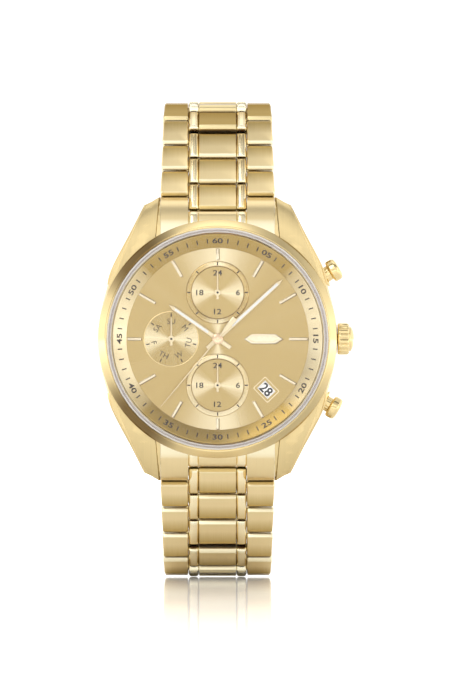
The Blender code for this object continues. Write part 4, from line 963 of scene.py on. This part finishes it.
class WATCH_OT_dial(Maker, bpy.types.Operator):
    """Finishes the dial and makes its three subdials with their printing"""

    bl_idname = "watch.dial"
    bl_label = "Dial"

    def subdial(self, scene, name, centre):
        """A raised ring with eight ticks round a sunray floor with four hour numerals."""
        settings = scene.watch_finish
        ink = printing()
        top = DIAL_H + 0.2
        rim = eased([(4.60, DIAL_H - 0.05), (4.62, DIAL_H + 0.06), (4.78, top + 0.02),
                     (5.38, top + 0.04), (5.52, top - 0.02), (5.60, DIAL_H + 0.02),
                     (5.60, DIAL_H - 0.05), (4.60, DIAL_H - 0.05)], 0.04)
        # Painted shade: a dark ring along the raised ring's inner edge.
        painted_shade_ring = turned([(4.56, DIAL_H), (4.66, DIAL_H), (4.68, DIAL_H + 0.12), (4.58, DIAL_H + 0.035)],
                        centre, count=96, wrap=True)
        ring = turned(rim[:-1], centre, count=96, wrap=True)
        floor = turned([(0.25, DIAL_H - 0.05), (4.62, DIAL_H - 0.05), (4.62, DIAL_H + 0.02),
                        (0.25, DIAL_H + 0.02)], centre, count=96, wrap=True)
        # Painted highlights: level rays on the floor and upright rays on the raised ring.
        floor_finish = sunray(name + "_gold", (centre[0], 0, centre[2]), tuple(settings.dial),
                              tuple(settings.dial_ray), False, 1.6, 0.30)
        rim_colour = tuple(channel * 1.02 for channel in settings.dial)
        rim_finish = sunray("subdial_rim_gold", (centre[0], 0, centre[2]), rim_colour,
                            tuple(settings.dial_ray), True, 3.5, 0.22)
        shade = satin("groove_gold", (0.36, 0.24, 0.08), 0.4, 0.8)
        parts = [(ring, rim_finish), (floor, floor_finish), (painted_shade_ring, shade)]
        for step in range(8):
            angle = 45.0 * step
            place = clock_point(5.10, angle, top + 0.07, centre)
            parts.append((placed(TICK, place, *clock_axes(angle)), ink))
        height = scene.watch_dial.small_numeral / MM
        for text, (a, b) in (("24", (0, 3.5)), ("6", (3.6, 0)), ("12", (0, -3.36)), ("18", (-3.15, 0))):
            place = np.array(centre) + a * RIGHT + b * UP + (DIAL_H + 0.04) * FRONT
            parts.append((placed(lettering(text, height, 1.22, 0.016), place, RIGHT, UP), ink))
        piece(name, parts, CASE, (), 40)

    def day_dial(self, scene, centre):
        """The flush day disc: a sunray floor, a bright rim line, seven ticks and day names."""
        settings = scene.watch_finish
        ink = printing()
        level = DIAL_H - 0.15
        floor_colour = tuple(channel * 0.92 for channel in settings.dial)
        # Painted highlight: level rays on the day disc's floor.
        floor_finish = sunray("day_gold", (centre[0], 0, centre[2]), floor_colour,
                              tuple(settings.dial_ray), False, 1.4, 0.28)
        floor = turned([(0.25, level - 0.05), (4.74, level - 0.05), (4.74, level + 0.02),
                        (0.25, level + 0.02)], centre, count=96, wrap=True)
        edge = eased([(4.74, level), (4.74, DIAL_H + 0.01), (4.80, DIAL_H + 0.05),
                      (4.92, DIAL_H + 0.03), (4.94, DIAL_H - 0.02), (4.80, level),
                      (4.74, level)], 0.02)
        rim = turned(edge[:-1], centre, count=96, wrap=True)
        parts = [(floor, floor_finish), (rim, polished_gold())]
        height = 0.95
        for step, text in enumerate(("SU", "M", "TU", "W", "TH", "F", "SA")):
            angle = step * 360.0 / 7
            axes = clock_axes(angle, not 90 < angle < 270)
            place = clock_point(3.12, angle, level + 0.04, centre)
            parts.append((placed(lettering(text, height, 0.98), place, *axes), ink))
            place = clock_point(4.22, angle, level + 0.04, centre)
            parts.append((placed(TICK, place, *clock_axes(angle)), ink))
        piece("day_subdial", parts, CASE, (), 40)

    def build(self, scene):
        settings = scene.watch_finish
        # Painted highlight: upright bright rays at 12 and 6.
        give("dial", sunray("dial_gold", (0, 0, 0), tuple(settings.dial), tuple(settings.dial_ray),
                            True, 5.0, 0.30))
        self.subdial(scene, "upper_subdial", (0, 0, SUBDIAL_OFFSET))
        self.subdial(scene, "lower_subdial", (0, 0, -SUBDIAL_OFFSET))
        self.day_dial(scene, (-SUBDIAL_OFFSET, 0, 0))


class WATCH_OT_batons(Maker, bpy.types.Operator):
    """Makes the applied hour batons and the plain applied plaque, each with a dark brown painted shadow
    plate under it
    """

    bl_idname = "watch.batons"
    bl_label = "Hour batons"

    def build(self, scene):
        sizes = scene.watch_dial
        half, tall = sizes.baton_width / MM / 2, sizes.baton_height / MM
        bright = satin("baton_bright", (0.97, 0.85, 0.62), 0.14, 1.0, 3.0, 0.01)
        shade = satin("groove_brown", (0.26, 0.17, 0.06), 0.5, 0.6)
        ends = {0: (14.0, 16.0), 6: (14.0, 16.0), 9: (13.5, 16.0), 3: (12.65, 16.0)}
        parts = []
        for hour in range(12):
            start, end = ends.get(hour, (12.7, 16.02))
            right, up = clock_axes(30.0 * hour)
            middle = clock_point((start + end) / 2, 30.0 * hour, DIAL_H)
            reach = (end - start) / 2
            shoulder = tall * 0.72
            bar = pad(middle - 0.05 * RIGHT, (right, up, FRONT), (half - 0.05, reach), 0.03,
                      [(0, 0, -0.02), (0, 0, shoulder), (0.11, 0.11, shoulder + 0.07),
                       (0.13, 0.13, tall)])
            parts.append((bar, bright))
            # Painted shadow: a dark brown plate set off to the lower right under each baton.
            beneath = pad(middle + 0.11 * RIGHT - 0.06 * UP, (right, up, FRONT), (half - 0.04, reach), 0.03,
                       [(0, 0, -0.02), (0, 0, 0.02)])
            parts.append((beneath, shade))
        piece("hour_batons", parts, CASE, (), 30)
        lozenge = ((-1, 0), (-0.62, 1), (0.62, 1), (1, 0), (0.62, -1), (-0.62, -1))
        levels = ((0.0, -0.02), (0.0, 0.22), (0.12, 0.34), (0.30, 0.34), (0.36, 0.26), (0.40, 0.26))
        plaque = skin(np.array([[(8.1 + a * (3.45 - inset * 2.2), -DIAL_H - h, b * (0.86 - inset))
                                 for a, b in lozenge] for inset, h in levels]))
        # Painted shadow: the same dark brown plate set off under the plaque.
        beneath = skin(np.array([[(8.22 + a * 3.5, -DIAL_H - h, b * 0.88 - 0.08)
                               for a, b in lozenge] for h in (-0.02, 0.02)]))
        piece("dial_plaque", [(plaque, bright), (beneath, shade)], CASE, (), 30)


class WATCH_OT_date(Maker, bpy.types.Operator):
    """Makes the date window's bevelled frame and prints the date disc"""

    bl_idname = "watch.date"
    bl_label = "Date"

    angle = 136.2
    radius = 12.45

    def build(self, scene):
        turn = math.radians(self.angle)
        out = np.array((math.sin(turn), 0, math.cos(turn)))
        side = np.array((-math.cos(turn), 0, math.sin(turn)))
        middle = clock_point(self.radius, self.angle, DIAL_H)
        half_a, half_b = 1.35, 1.0
        rings = []
        for grow, height in ((0.0, -0.38), (0.0, -0.15), (0.42, 0.02), (0.52, 0.03), (0.54, -0.02),
                             (0.40, -0.05), (0.02, -0.40)):
            outline = rounded_rectangle(half_a + grow - 0.02, half_b + grow - 0.02, 0.06 + grow * 0.3)
            rings.append(outline[:, :1] * out + outline[:, 1:] * side + height * FRONT + middle)
        window = skin(np.array(rings), wrap=True)
        piece("date_frame", [(window, hand_gilt())], CASE, (), 30)
        give("date_disc", date_white())
        ink = satin("date_black", (0.012, 0.012, 0.013), 0.4, 0.0)
        low, _ = node_box("date_disc")
        height = scene.watch_dial.date_numeral / MM
        parts = []
        for day in range(1, 32):
            angle = self.angle + (day - 28) * 360.0 / 31
            across = clock_axes(angle)[1]
            upwards = np.array((-across[2], 0, across[0]))
            width = 1.02 if day < 10 else 0.96
            shell = lettering(str(day), height, width, 0.020)
            place = clock_point(self.radius, angle, -low[1] + 0.02)
            parts.append((placed(shell, place, across, upwards), ink))
        piece("date_numbers", parts, "date_disc")


class WATCH_OT_hands(Maker, bpy.types.Operator):
    """Makes the hour, minute and chronograph hands and the three subdial hands"""

    bl_idname = "watch.hands"
    bl_label = "Hands"

    def hub(self, centre, h, radius, dark_radius):
        """A low turned cap with a dark pin in its middle."""
        cap = turned(eased([(0.02, h), (radius, h), (radius, h + 0.10), (radius * 0.8, h + 0.17),
                            (0.02, h + 0.17)], 0.05), centre, count=32)
        pin = turned([(0.02, h + 0.1), (dark_radius, h + 0.1), (dark_radius, h + 0.185),
                      (0.02, h + 0.185)], centre, count=16)
        return cap, pin

    def pointed(self, scene, name, angle, reach, tail, half, lume, h):
        """A flat pointed hand with bevelled edges and a sunk luminous strip."""
        right, along = clock_axes(angle)
        metal = hand_gilt()
        white = satin("luminous_white", tuple(scene.watch_finish.luminous), 0.55, 0.0, 12.0, 0.08)
        stations = [(-tail, half * 0.96, 0.10), (-tail + 0.12, half, 0.15), (reach - 0.95, half, 0.15),
                    (reach - 0.35, half * 0.38, 0.12), (reach, 0.04, 0.06)]
        plate = blade((0, 0, 0), along, FRONT, stations, h)
        start, end = lume
        middle = (start + end) / 2 * along + (h + 0.14) * FRONT
        strip = pad(middle, (right, along, FRONT), (half * 0.50, (end - start) / 2), half * 0.3,
                    [(0, 0, 0), (0, 0, 0.035), (0.04, 0.04, 0.055)])
        return [(plate, metal), (strip, white)]

    def build(self, scene):
        metal, ink = hand_gilt(), satin("date_black", (0.012, 0.012, 0.013), 0.4, 0.0)
        rose = polished_gold("hub_gilt", tuple(scene.watch_finish.hub))
        middle = (0, 0, 0)
        for name, angle, reach, tail, lume, h in (("hour_hand", 304.8, 10.5, 2.8, (2.0, 9.2), 7.8),
                                                  ("minute_hand", 47.5, 15.5, 2.5, (3.4, 14.4), 8.12)):
            parts = self.pointed(scene, name, angle, reach, tail, 0.39, lume, h)
            collar = turned(eased([(0.02, h - 0.02), (0.95, h - 0.02), (0.95, h + 0.12), (0.8, h + 0.16),
                                   (0.02, h + 0.16)], 0.05), middle, count=48)
            piece(name + "_gilt", parts + [(collar, rose)], name, [name], 30)
        _, along = clock_axes(220.0)
        h = 8.42
        sweep = blade(middle, along, FRONT, [(-4.8, 0.44, 0.08), (-4.7, 0.46, 0.12), (-2.4, 0.43, 0.12),
                                             (-1.2, 0.17, 0.12), (0, 0.16, 0.12), (12.0, 0.12, 0.10),
                                             (15.6, 0.06, 0.06)], h)
        cap, pin = self.hub(middle, h - 0.02, 0.82, 0.30)
        piece("chronograph_hand_gilt", [(sweep, metal), (cap, rose), (pin, metal)], "chronograph_hand",
              ["chronograph_hand"], 30)
        h = 7.45
        for name, centre in (("upper_subdial_hand", (0, 0, SUBDIAL_OFFSET)),
                             ("lower_subdial_hand", (0, 0, -SUBDIAL_OFFSET)),
                             ("day_hand", (-SUBDIAL_OFFSET, 0, 0))):
            stations = [(-1.2, 0.16, 0.08), (-1.1, 0.24, 0.12), (-0.5, 0.20, 0.12), (0, 0.18, 0.12),
                        (3.4, 0.14, 0.11), (3.9, 0.05, 0.05)]
            needle = blade(centre, UP, FRONT, stations, h)
            cap, pin = self.hub(centre, h - 0.02, 0.60, 0.20)
            parts = [(needle, metal), (cap, metal), (pin, ink)]
            piece(name + "_gilt", parts, name, [name], 30)


class WATCH_OT_crown(Maker, bpy.types.Operator):
    """Makes the fluted crown and finishes its stem and lever"""

    bl_idname = "watch.crown"
    bl_label = "Crown"

    flutes = 16
    grip = 1.85

    def fluting(self, angle, distance):
        """Rounded ribs: the radius dips by a power of the half-wave round the crown, fading at the
        grip's ends."""
        start = float(CROWN_LOW[0])
        end = start + self.grip
        rise = np.clip((distance - start - 0.08) / 0.2, 0, 1)
        fade = np.clip((end - 0.05 - distance) / 0.25, 0, 1)
        return -0.26 * np.abs(np.cos(self.flutes * angle / 2)) ** 5 * rise * fade

    def build(self, scene):
        start, end = float(CROWN_LOW[0]) - 0.25, float(CROWN_HIGH[0])
        grip = float(CROWN_LOW[0]) + self.grip
        radius = float(CROWN_HIGH[2])
        profile = [(0.97, start), (radius - 0.25, start)]
        profile += [(radius - 0.08, start + 0.10), (radius, start + 0.26), (radius, start + 0.7),
                    (radius, grip - 0.5), (radius - 0.06, grip - 0.25), (radius - 0.22, grip - 0.08),
                    (radius - 0.42, grip)]
        dome = np.linspace(0.03, 1, 9)
        cap = [((radius - 0.55) * math.cos(math.pi / 2 * t),
                grip + (end - grip) * math.sin(math.pi / 2 * t)) for t in dome]
        shell = turned(profile + cap, (0, -CONTROL_H, 0), RIGHT, 192, radius_change=self.fluting)
        piece("crown_fluted", [(shell, polished_gold())], "crown", ["crown"], 45)
        steel = circular_grain("plain_steel", (0.60, 0.60, 0.58), 0.28)
        give("crown_stem", steel)
        give("setting_lever", steel)


class WATCH_OT_pushers(Maker, bpy.types.Operator):
    """Makes the two pump pushers and their flared collars"""

    bl_idname = "watch.pushers"
    bl_label = "Pushers"

    def build(self, scene):
        metal = polished_gold()
        for name in ("upper", "lower"):
            press = joint(name + "_pusher_press")
            direction = -np.array(press["axis"], float)
            face, barrel = 24.95, 21.95
            back = face - 1.85
            profile = eased([(0.3, 18.6), (0.7, 18.6), (0.7, barrel), (1.33, barrel), (1.33, back),
                             (1.78, back), (2.0, back + 0.28), (2.0, face - 0.62),
                             (1.80, face - 0.22), (1.2, face - 0.03), (0.05, face)], 0.12)

            def grooves(angle, distance, start=barrel + 0.1, end=back):
                """Fine grooves along the barrel only."""
                held = (distance > start) & (distance < end)
                return -0.07 * np.abs(np.cos(7 * angle)) ** 4 * held

            cap = turned(profile, (0, -CONTROL_H, 0), direction, 96, radius_change=grooves)
            piece(name + "_pusher_gold", [(cap, metal)], name + "_pusher",
                  [name + "_pusher"], 40)
            top = 22.15
            profile = eased([(0.8, 18.9), (1.75, 18.9), (1.75, top - 0.5), (2.15, top - 0.5),
                             (2.12, top - 0.25), (1.72, top), (1.43, top), (1.43, 21.05),
                             (0.8, 21.05), (0.8, 18.9)], 0.06)
            collar = turned(profile[:-1], (0, -CONTROL_H, 0), direction, 96, wrap=True)
            piece(name + "_collar_gold", [(collar, metal)], CASE,
                  [name + "_pusher_collar"], 40)


class WATCH_OT_bracelet(Maker, bpy.types.Operator):
    """Makes the bracelet's rows and the two end links between the lugs"""

    bl_idname = "watch.bracelet"
    bl_label = "Bracelet"

    near_rows = 3
    half_length = 2.35
    half_brushed = 3.32
    half_centre = 5.16
    outer_start = 5.19
    taper = 0.035
    top = 1.4
    low = -1.2

    def link_levels(self, bevel):
        """A link piece's levels from the wrist side to the outer face, its ends bevelled."""
        return [(0.12, 0.42, self.low), (0.0, 0.30, self.low + 0.12), (0.0, 0.0, 0.15),
                (0.0, 0.0, self.top - 0.42), (0.03, 0.06, self.top - 0.33),
                (bevel, 0.44, self.top - 0.05), (bevel + 0.05, 0.52, self.top)]

    def strip_levels(self, half):
        """A half-round polished strip: its sides follow a quarter ellipse."""
        turn = np.linspace(0, math.pi / 2 * 0.93, 7)
        rise = 0.62
        levels = [(0.10, 0.42, self.low), (0.0, 0.30, self.low + 0.1), (0.0, 0.0, 0.15)]
        levels += [(half * (1 - math.cos(t)), 0.40 * math.sin(t) ** 4,
                    self.top - rise + (rise + 0.02) * math.sin(t)) for t in turn]
        return levels

    def row(self, hinge, along, face, half_width, brushed):
        """One row: brushed middle, two polished strips, two tapered brushed outer links, two pins."""
        polished = strip_gold()
        axes = (RIGHT, along, face)
        middle = hinge + 1.15 * along
        half_strip = (self.half_centre - self.half_brushed) / 2 - 0.02
        plate = pad(middle, axes, (self.half_brushed, self.half_length), 0.12,
                    self.link_levels(0.06), 0.16)
        parts = [(plate, brushed)]
        outer_half = (half_width - self.outer_start) / 2
        outer = hinge + 3.7 * along
        for side in (1, -1):
            strip = middle + side * (self.half_brushed + half_strip + 0.02) * RIGHT
            rounded = self.strip_levels(half_strip)
            bar = pad(strip, axes, (half_strip, self.half_length), 0.25, rounded, 0.12)
            parts.append((bar, polished))
            place = outer + side * (self.outer_start + outer_half) * RIGHT
            points, faces = pad(place, axes, (outer_half, self.half_length), 0.45,
                                self.link_levels(0.14), 0.16)
            lean = 1 - self.taper * ((points - outer) @ along) / self.half_length
            points[:, 0] = side * (self.outer_start + (np.abs(points[:, 0]) - self.outer_start) * lean)
            parts.append(((points, faces), brushed))
        for distance in (2.4, PITCH):
            reach = half_width - 0.6
            pin = turned([(0.02, -reach), (0.4, -reach), (0.4, reach), (0.02, reach)],
                         hinge + distance * along, RIGHT, 16)
            parts.append((pin, polished))
        return parts

    def points(self, made):
        """A piece's points in millimetres."""
        points = np.empty(len(made.data.vertices) * 3)
        made.data.vertices.foreach_get("co", points)
        return points.reshape(-1, 3) / MM

    def set_run(self, made, run):
        """Stores how far each point lies along its link, for the light and shade that the link's
        finishes paint along it.
        """
        attribute = made.data.attributes.new("run", "FLOAT", "POINT")
        attribute.data.foreach_set("value", run.astype(np.float32))

    def link_run(self, points, hinge, along):
        """From 0 at the case's end of each part of a link to 1 at its far end."""
        gap = (self.half_centre + self.outer_start) / 2
        start = np.where(np.abs(points[:, 0]) < gap, -1.2, 1.35)
        return np.clip(((points - hinge) @ along - start) / (2 * self.half_length), 0.0, 1.0)

    def build(self, scene):
        for name, side in (("upper", 1), ("lower", -1)):
            angle = 0.0
            for number in range(1, ROWS + 1):
                node = f"{name}_link_{number:02d}"
                hinge = joint(node + "_hinge")
                angle += math.radians(hinge["range_deg"][1])
                along = np.array((0, math.sin(angle), side * math.cos(angle)))
                face = np.array((0, -math.cos(angle), side * math.sin(angle)))
                half_width = float(node_box(node)[1][0])
                # Painted shade: rows past the near ones get the darker copy of the link gold.
                brushed = far_link_gold() if side > 0 and number > self.near_rows else link_gold()
                parts = self.row(joint_place(node + "_hinge"), along, face, half_width, brushed)
                made = piece(node + "_gold", parts, node, [node], 30)
                place = joint_place(node + "_hinge")
                self.set_run(made, self.link_run(self.points(made), place, along))
            self.end_link(name, side)

    def end_link(self, name, side):
        """The fixed link: columns across the width, each a section carried down the lugs' curve."""
        brushed, polished = link_gold(), strip_gold()
        outer, strip, inner = 10.07, self.half_centre, self.half_brushed
        parts = []
        for start, end, reach, round_top, metal in (
                (-outer, -self.outer_start, 25.05, 0.0, brushed),
                (-strip, -inner - 0.02, 22.5, 0.35, polished), (-inner, inner, 22.5, 0.0, brushed),
                (inner + 0.02, strip, 22.5, 0.35, polished),
                (self.outer_start, outer, 25.05, 0.0, brushed)):
            turn = np.linspace(0, 1, 7)
            x = start + (end - start) * turn
            z = np.linspace(18.2, reach, 17)
            share_z = np.clip((z - 14.0) / 11.05, 0, 1)
            height = 3.15 + 4.9 * np.sqrt(1 - share_z ** 2)
            close = np.clip((z - reach + 0.45) / 0.45, 0, 1)
            height = height - 0.35 * close ** 2
            bulge = round_top * np.sqrt(np.clip(1 - (2 * turn - 1) ** 2, 0, 1)) - round_top
            top = np.stack(np.broadcast_arrays(x[None, :], -(height[:, None] + bulge[None, :]),
                                               side * z[:, None]), axis=-1)
            floor = np.full((len(z), 1), -0.7)
            under = np.stack(np.broadcast_arrays(x[None, ::-1], floor, side * z[:, None]), axis=-1)
            parts.append((skin(np.concatenate((top, under), axis=1)), metal))
        pin = turned([(0.02, -9.4), (0.4, -9.4), (0.4, 9.4), (0.02, 9.4)], (0, -1.5, side * 23.8),
                     RIGHT, 16)
        parts.append((pin, polished))
        made = piece(name + "_end_link_gold", parts, CASE,
                     [name + "_end_link"], 30)
        distance = np.abs(self.points(made)[:, 2])
        # Painted light and shade on the end link: a cream painted highlight where the lugs start, then
        # painted shade darkening towards the far end.
        self.set_run(made, np.interp(distance, (18.0, 20.6, 24.2, 25.1), (0.10, 0.118, 0.30, 0.80)))


class WATCH_OT_clasp(Maker, bpy.types.Operator):
    """Finishes the folding clasp's cover, blades and buttons"""

    bl_idname = "watch.clasp"
    bl_label = "Clasp"

    def build(self, scene):
        give("clasp_cover", brushed_gold())
        for node in ("clasp_outer_blade", "clasp_inner_blade", "clasp_button_left",
                     "clasp_button_right"):
            give(node, polished_gold())


class WATCH_OT_movement(Maker, bpy.types.Operator):
    """Finishes the movement's pieces inside the case"""

    bl_idname = "watch.movement"
    bl_label = "Movement"

    def build(self, scene):
        give("movement_holder", satin("holder_plastic", (0.85, 0.84, 0.80), 0.5, 0.0))
        give("movement_plate", circular_grain("movement_brass", (0.74, 0.70, 0.60), 0.3))
        give("circuit_board", satin("board_green", (0.05, 0.22, 0.12), 0.35, 0.0, 2.5, 0.1))
        give("battery", circular_grain("plain_steel", (0.60, 0.60, 0.58), 0.28))
        give("battery_clamp", circular_grain("plain_steel", (0.60, 0.60, 0.58), 0.28))
        give("drive_coil", self.wound())

    def wound(self):
        """Enamelled wire: bands along the coil's own length."""
        made = Finish("coil_copper", (0.72, 0.38, 0.22), 0.35, 1.0)
        x, _, _ = made.place()
        bands = (x * 40.0).sine() * 0.5 + 0.5
        made.feed("Base Color", made.mixed(bands, made.darker(0.7), made.darker(1.1)))
        made.feed("Roughness", 0.45 - 0.2 * bands)
        made.bump(bands, 0.3, 0.05)
        return made.material


MAKERS = (WATCH_OT_stage, WATCH_OT_case, WATCH_OT_bezel, WATCH_OT_chapter_ring, WATCH_OT_dial,
          WATCH_OT_batons, WATCH_OT_date, WATCH_OT_hands, WATCH_OT_crown, WATCH_OT_pushers,
          WATCH_OT_bracelet, WATCH_OT_clasp, WATCH_OT_movement)


class WATCH_PT_panel(bpy.types.Panel):
    """Lists the watch's settings and the operators that build it."""

    bl_label = "Chronograph Wristwatch"
    bl_idname = "WATCH_PT_panel"
    bl_space_type = "VIEW_3D"
    bl_region_type = "UI"
    bl_category = "Watch"

    def draw(self, context):
        layout = self.layout
        for group in (context.scene.watch_finish, context.scene.watch_dial, context.scene.watch_studio):
            box = layout.box()
            for name in group.__annotations__:
                box.prop(group, name)
        for maker in MAKERS:
            layout.operator(maker.bl_idname)


CLASSES = (WatchFinish, WatchDial, WatchStudio, *MAKERS, WATCH_PT_panel)


def register():
    for item in CLASSES:
        bpy.utils.register_class(item)
    bpy.types.Scene.watch_finish = bpy.props.PointerProperty(type=WatchFinish)
    bpy.types.Scene.watch_dial = bpy.props.PointerProperty(type=WatchDial)
    bpy.types.Scene.watch_studio = bpy.props.PointerProperty(type=WatchStudio)


def unregister():
    del bpy.types.Scene.watch_studio
    del bpy.types.Scene.watch_dial
    del bpy.types.Scene.watch_finish
    for item in reversed(CLASSES):
        bpy.utils.unregister_class(item)


def main():
    """Builds the watch: registers its settings and runs each of its makers."""
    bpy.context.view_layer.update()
    register()
    for maker in MAKERS:
        group, name = maker.bl_idname.split(".")
        getattr(getattr(bpy.ops, group), name)()


if __name__ == "__main__":
    main()
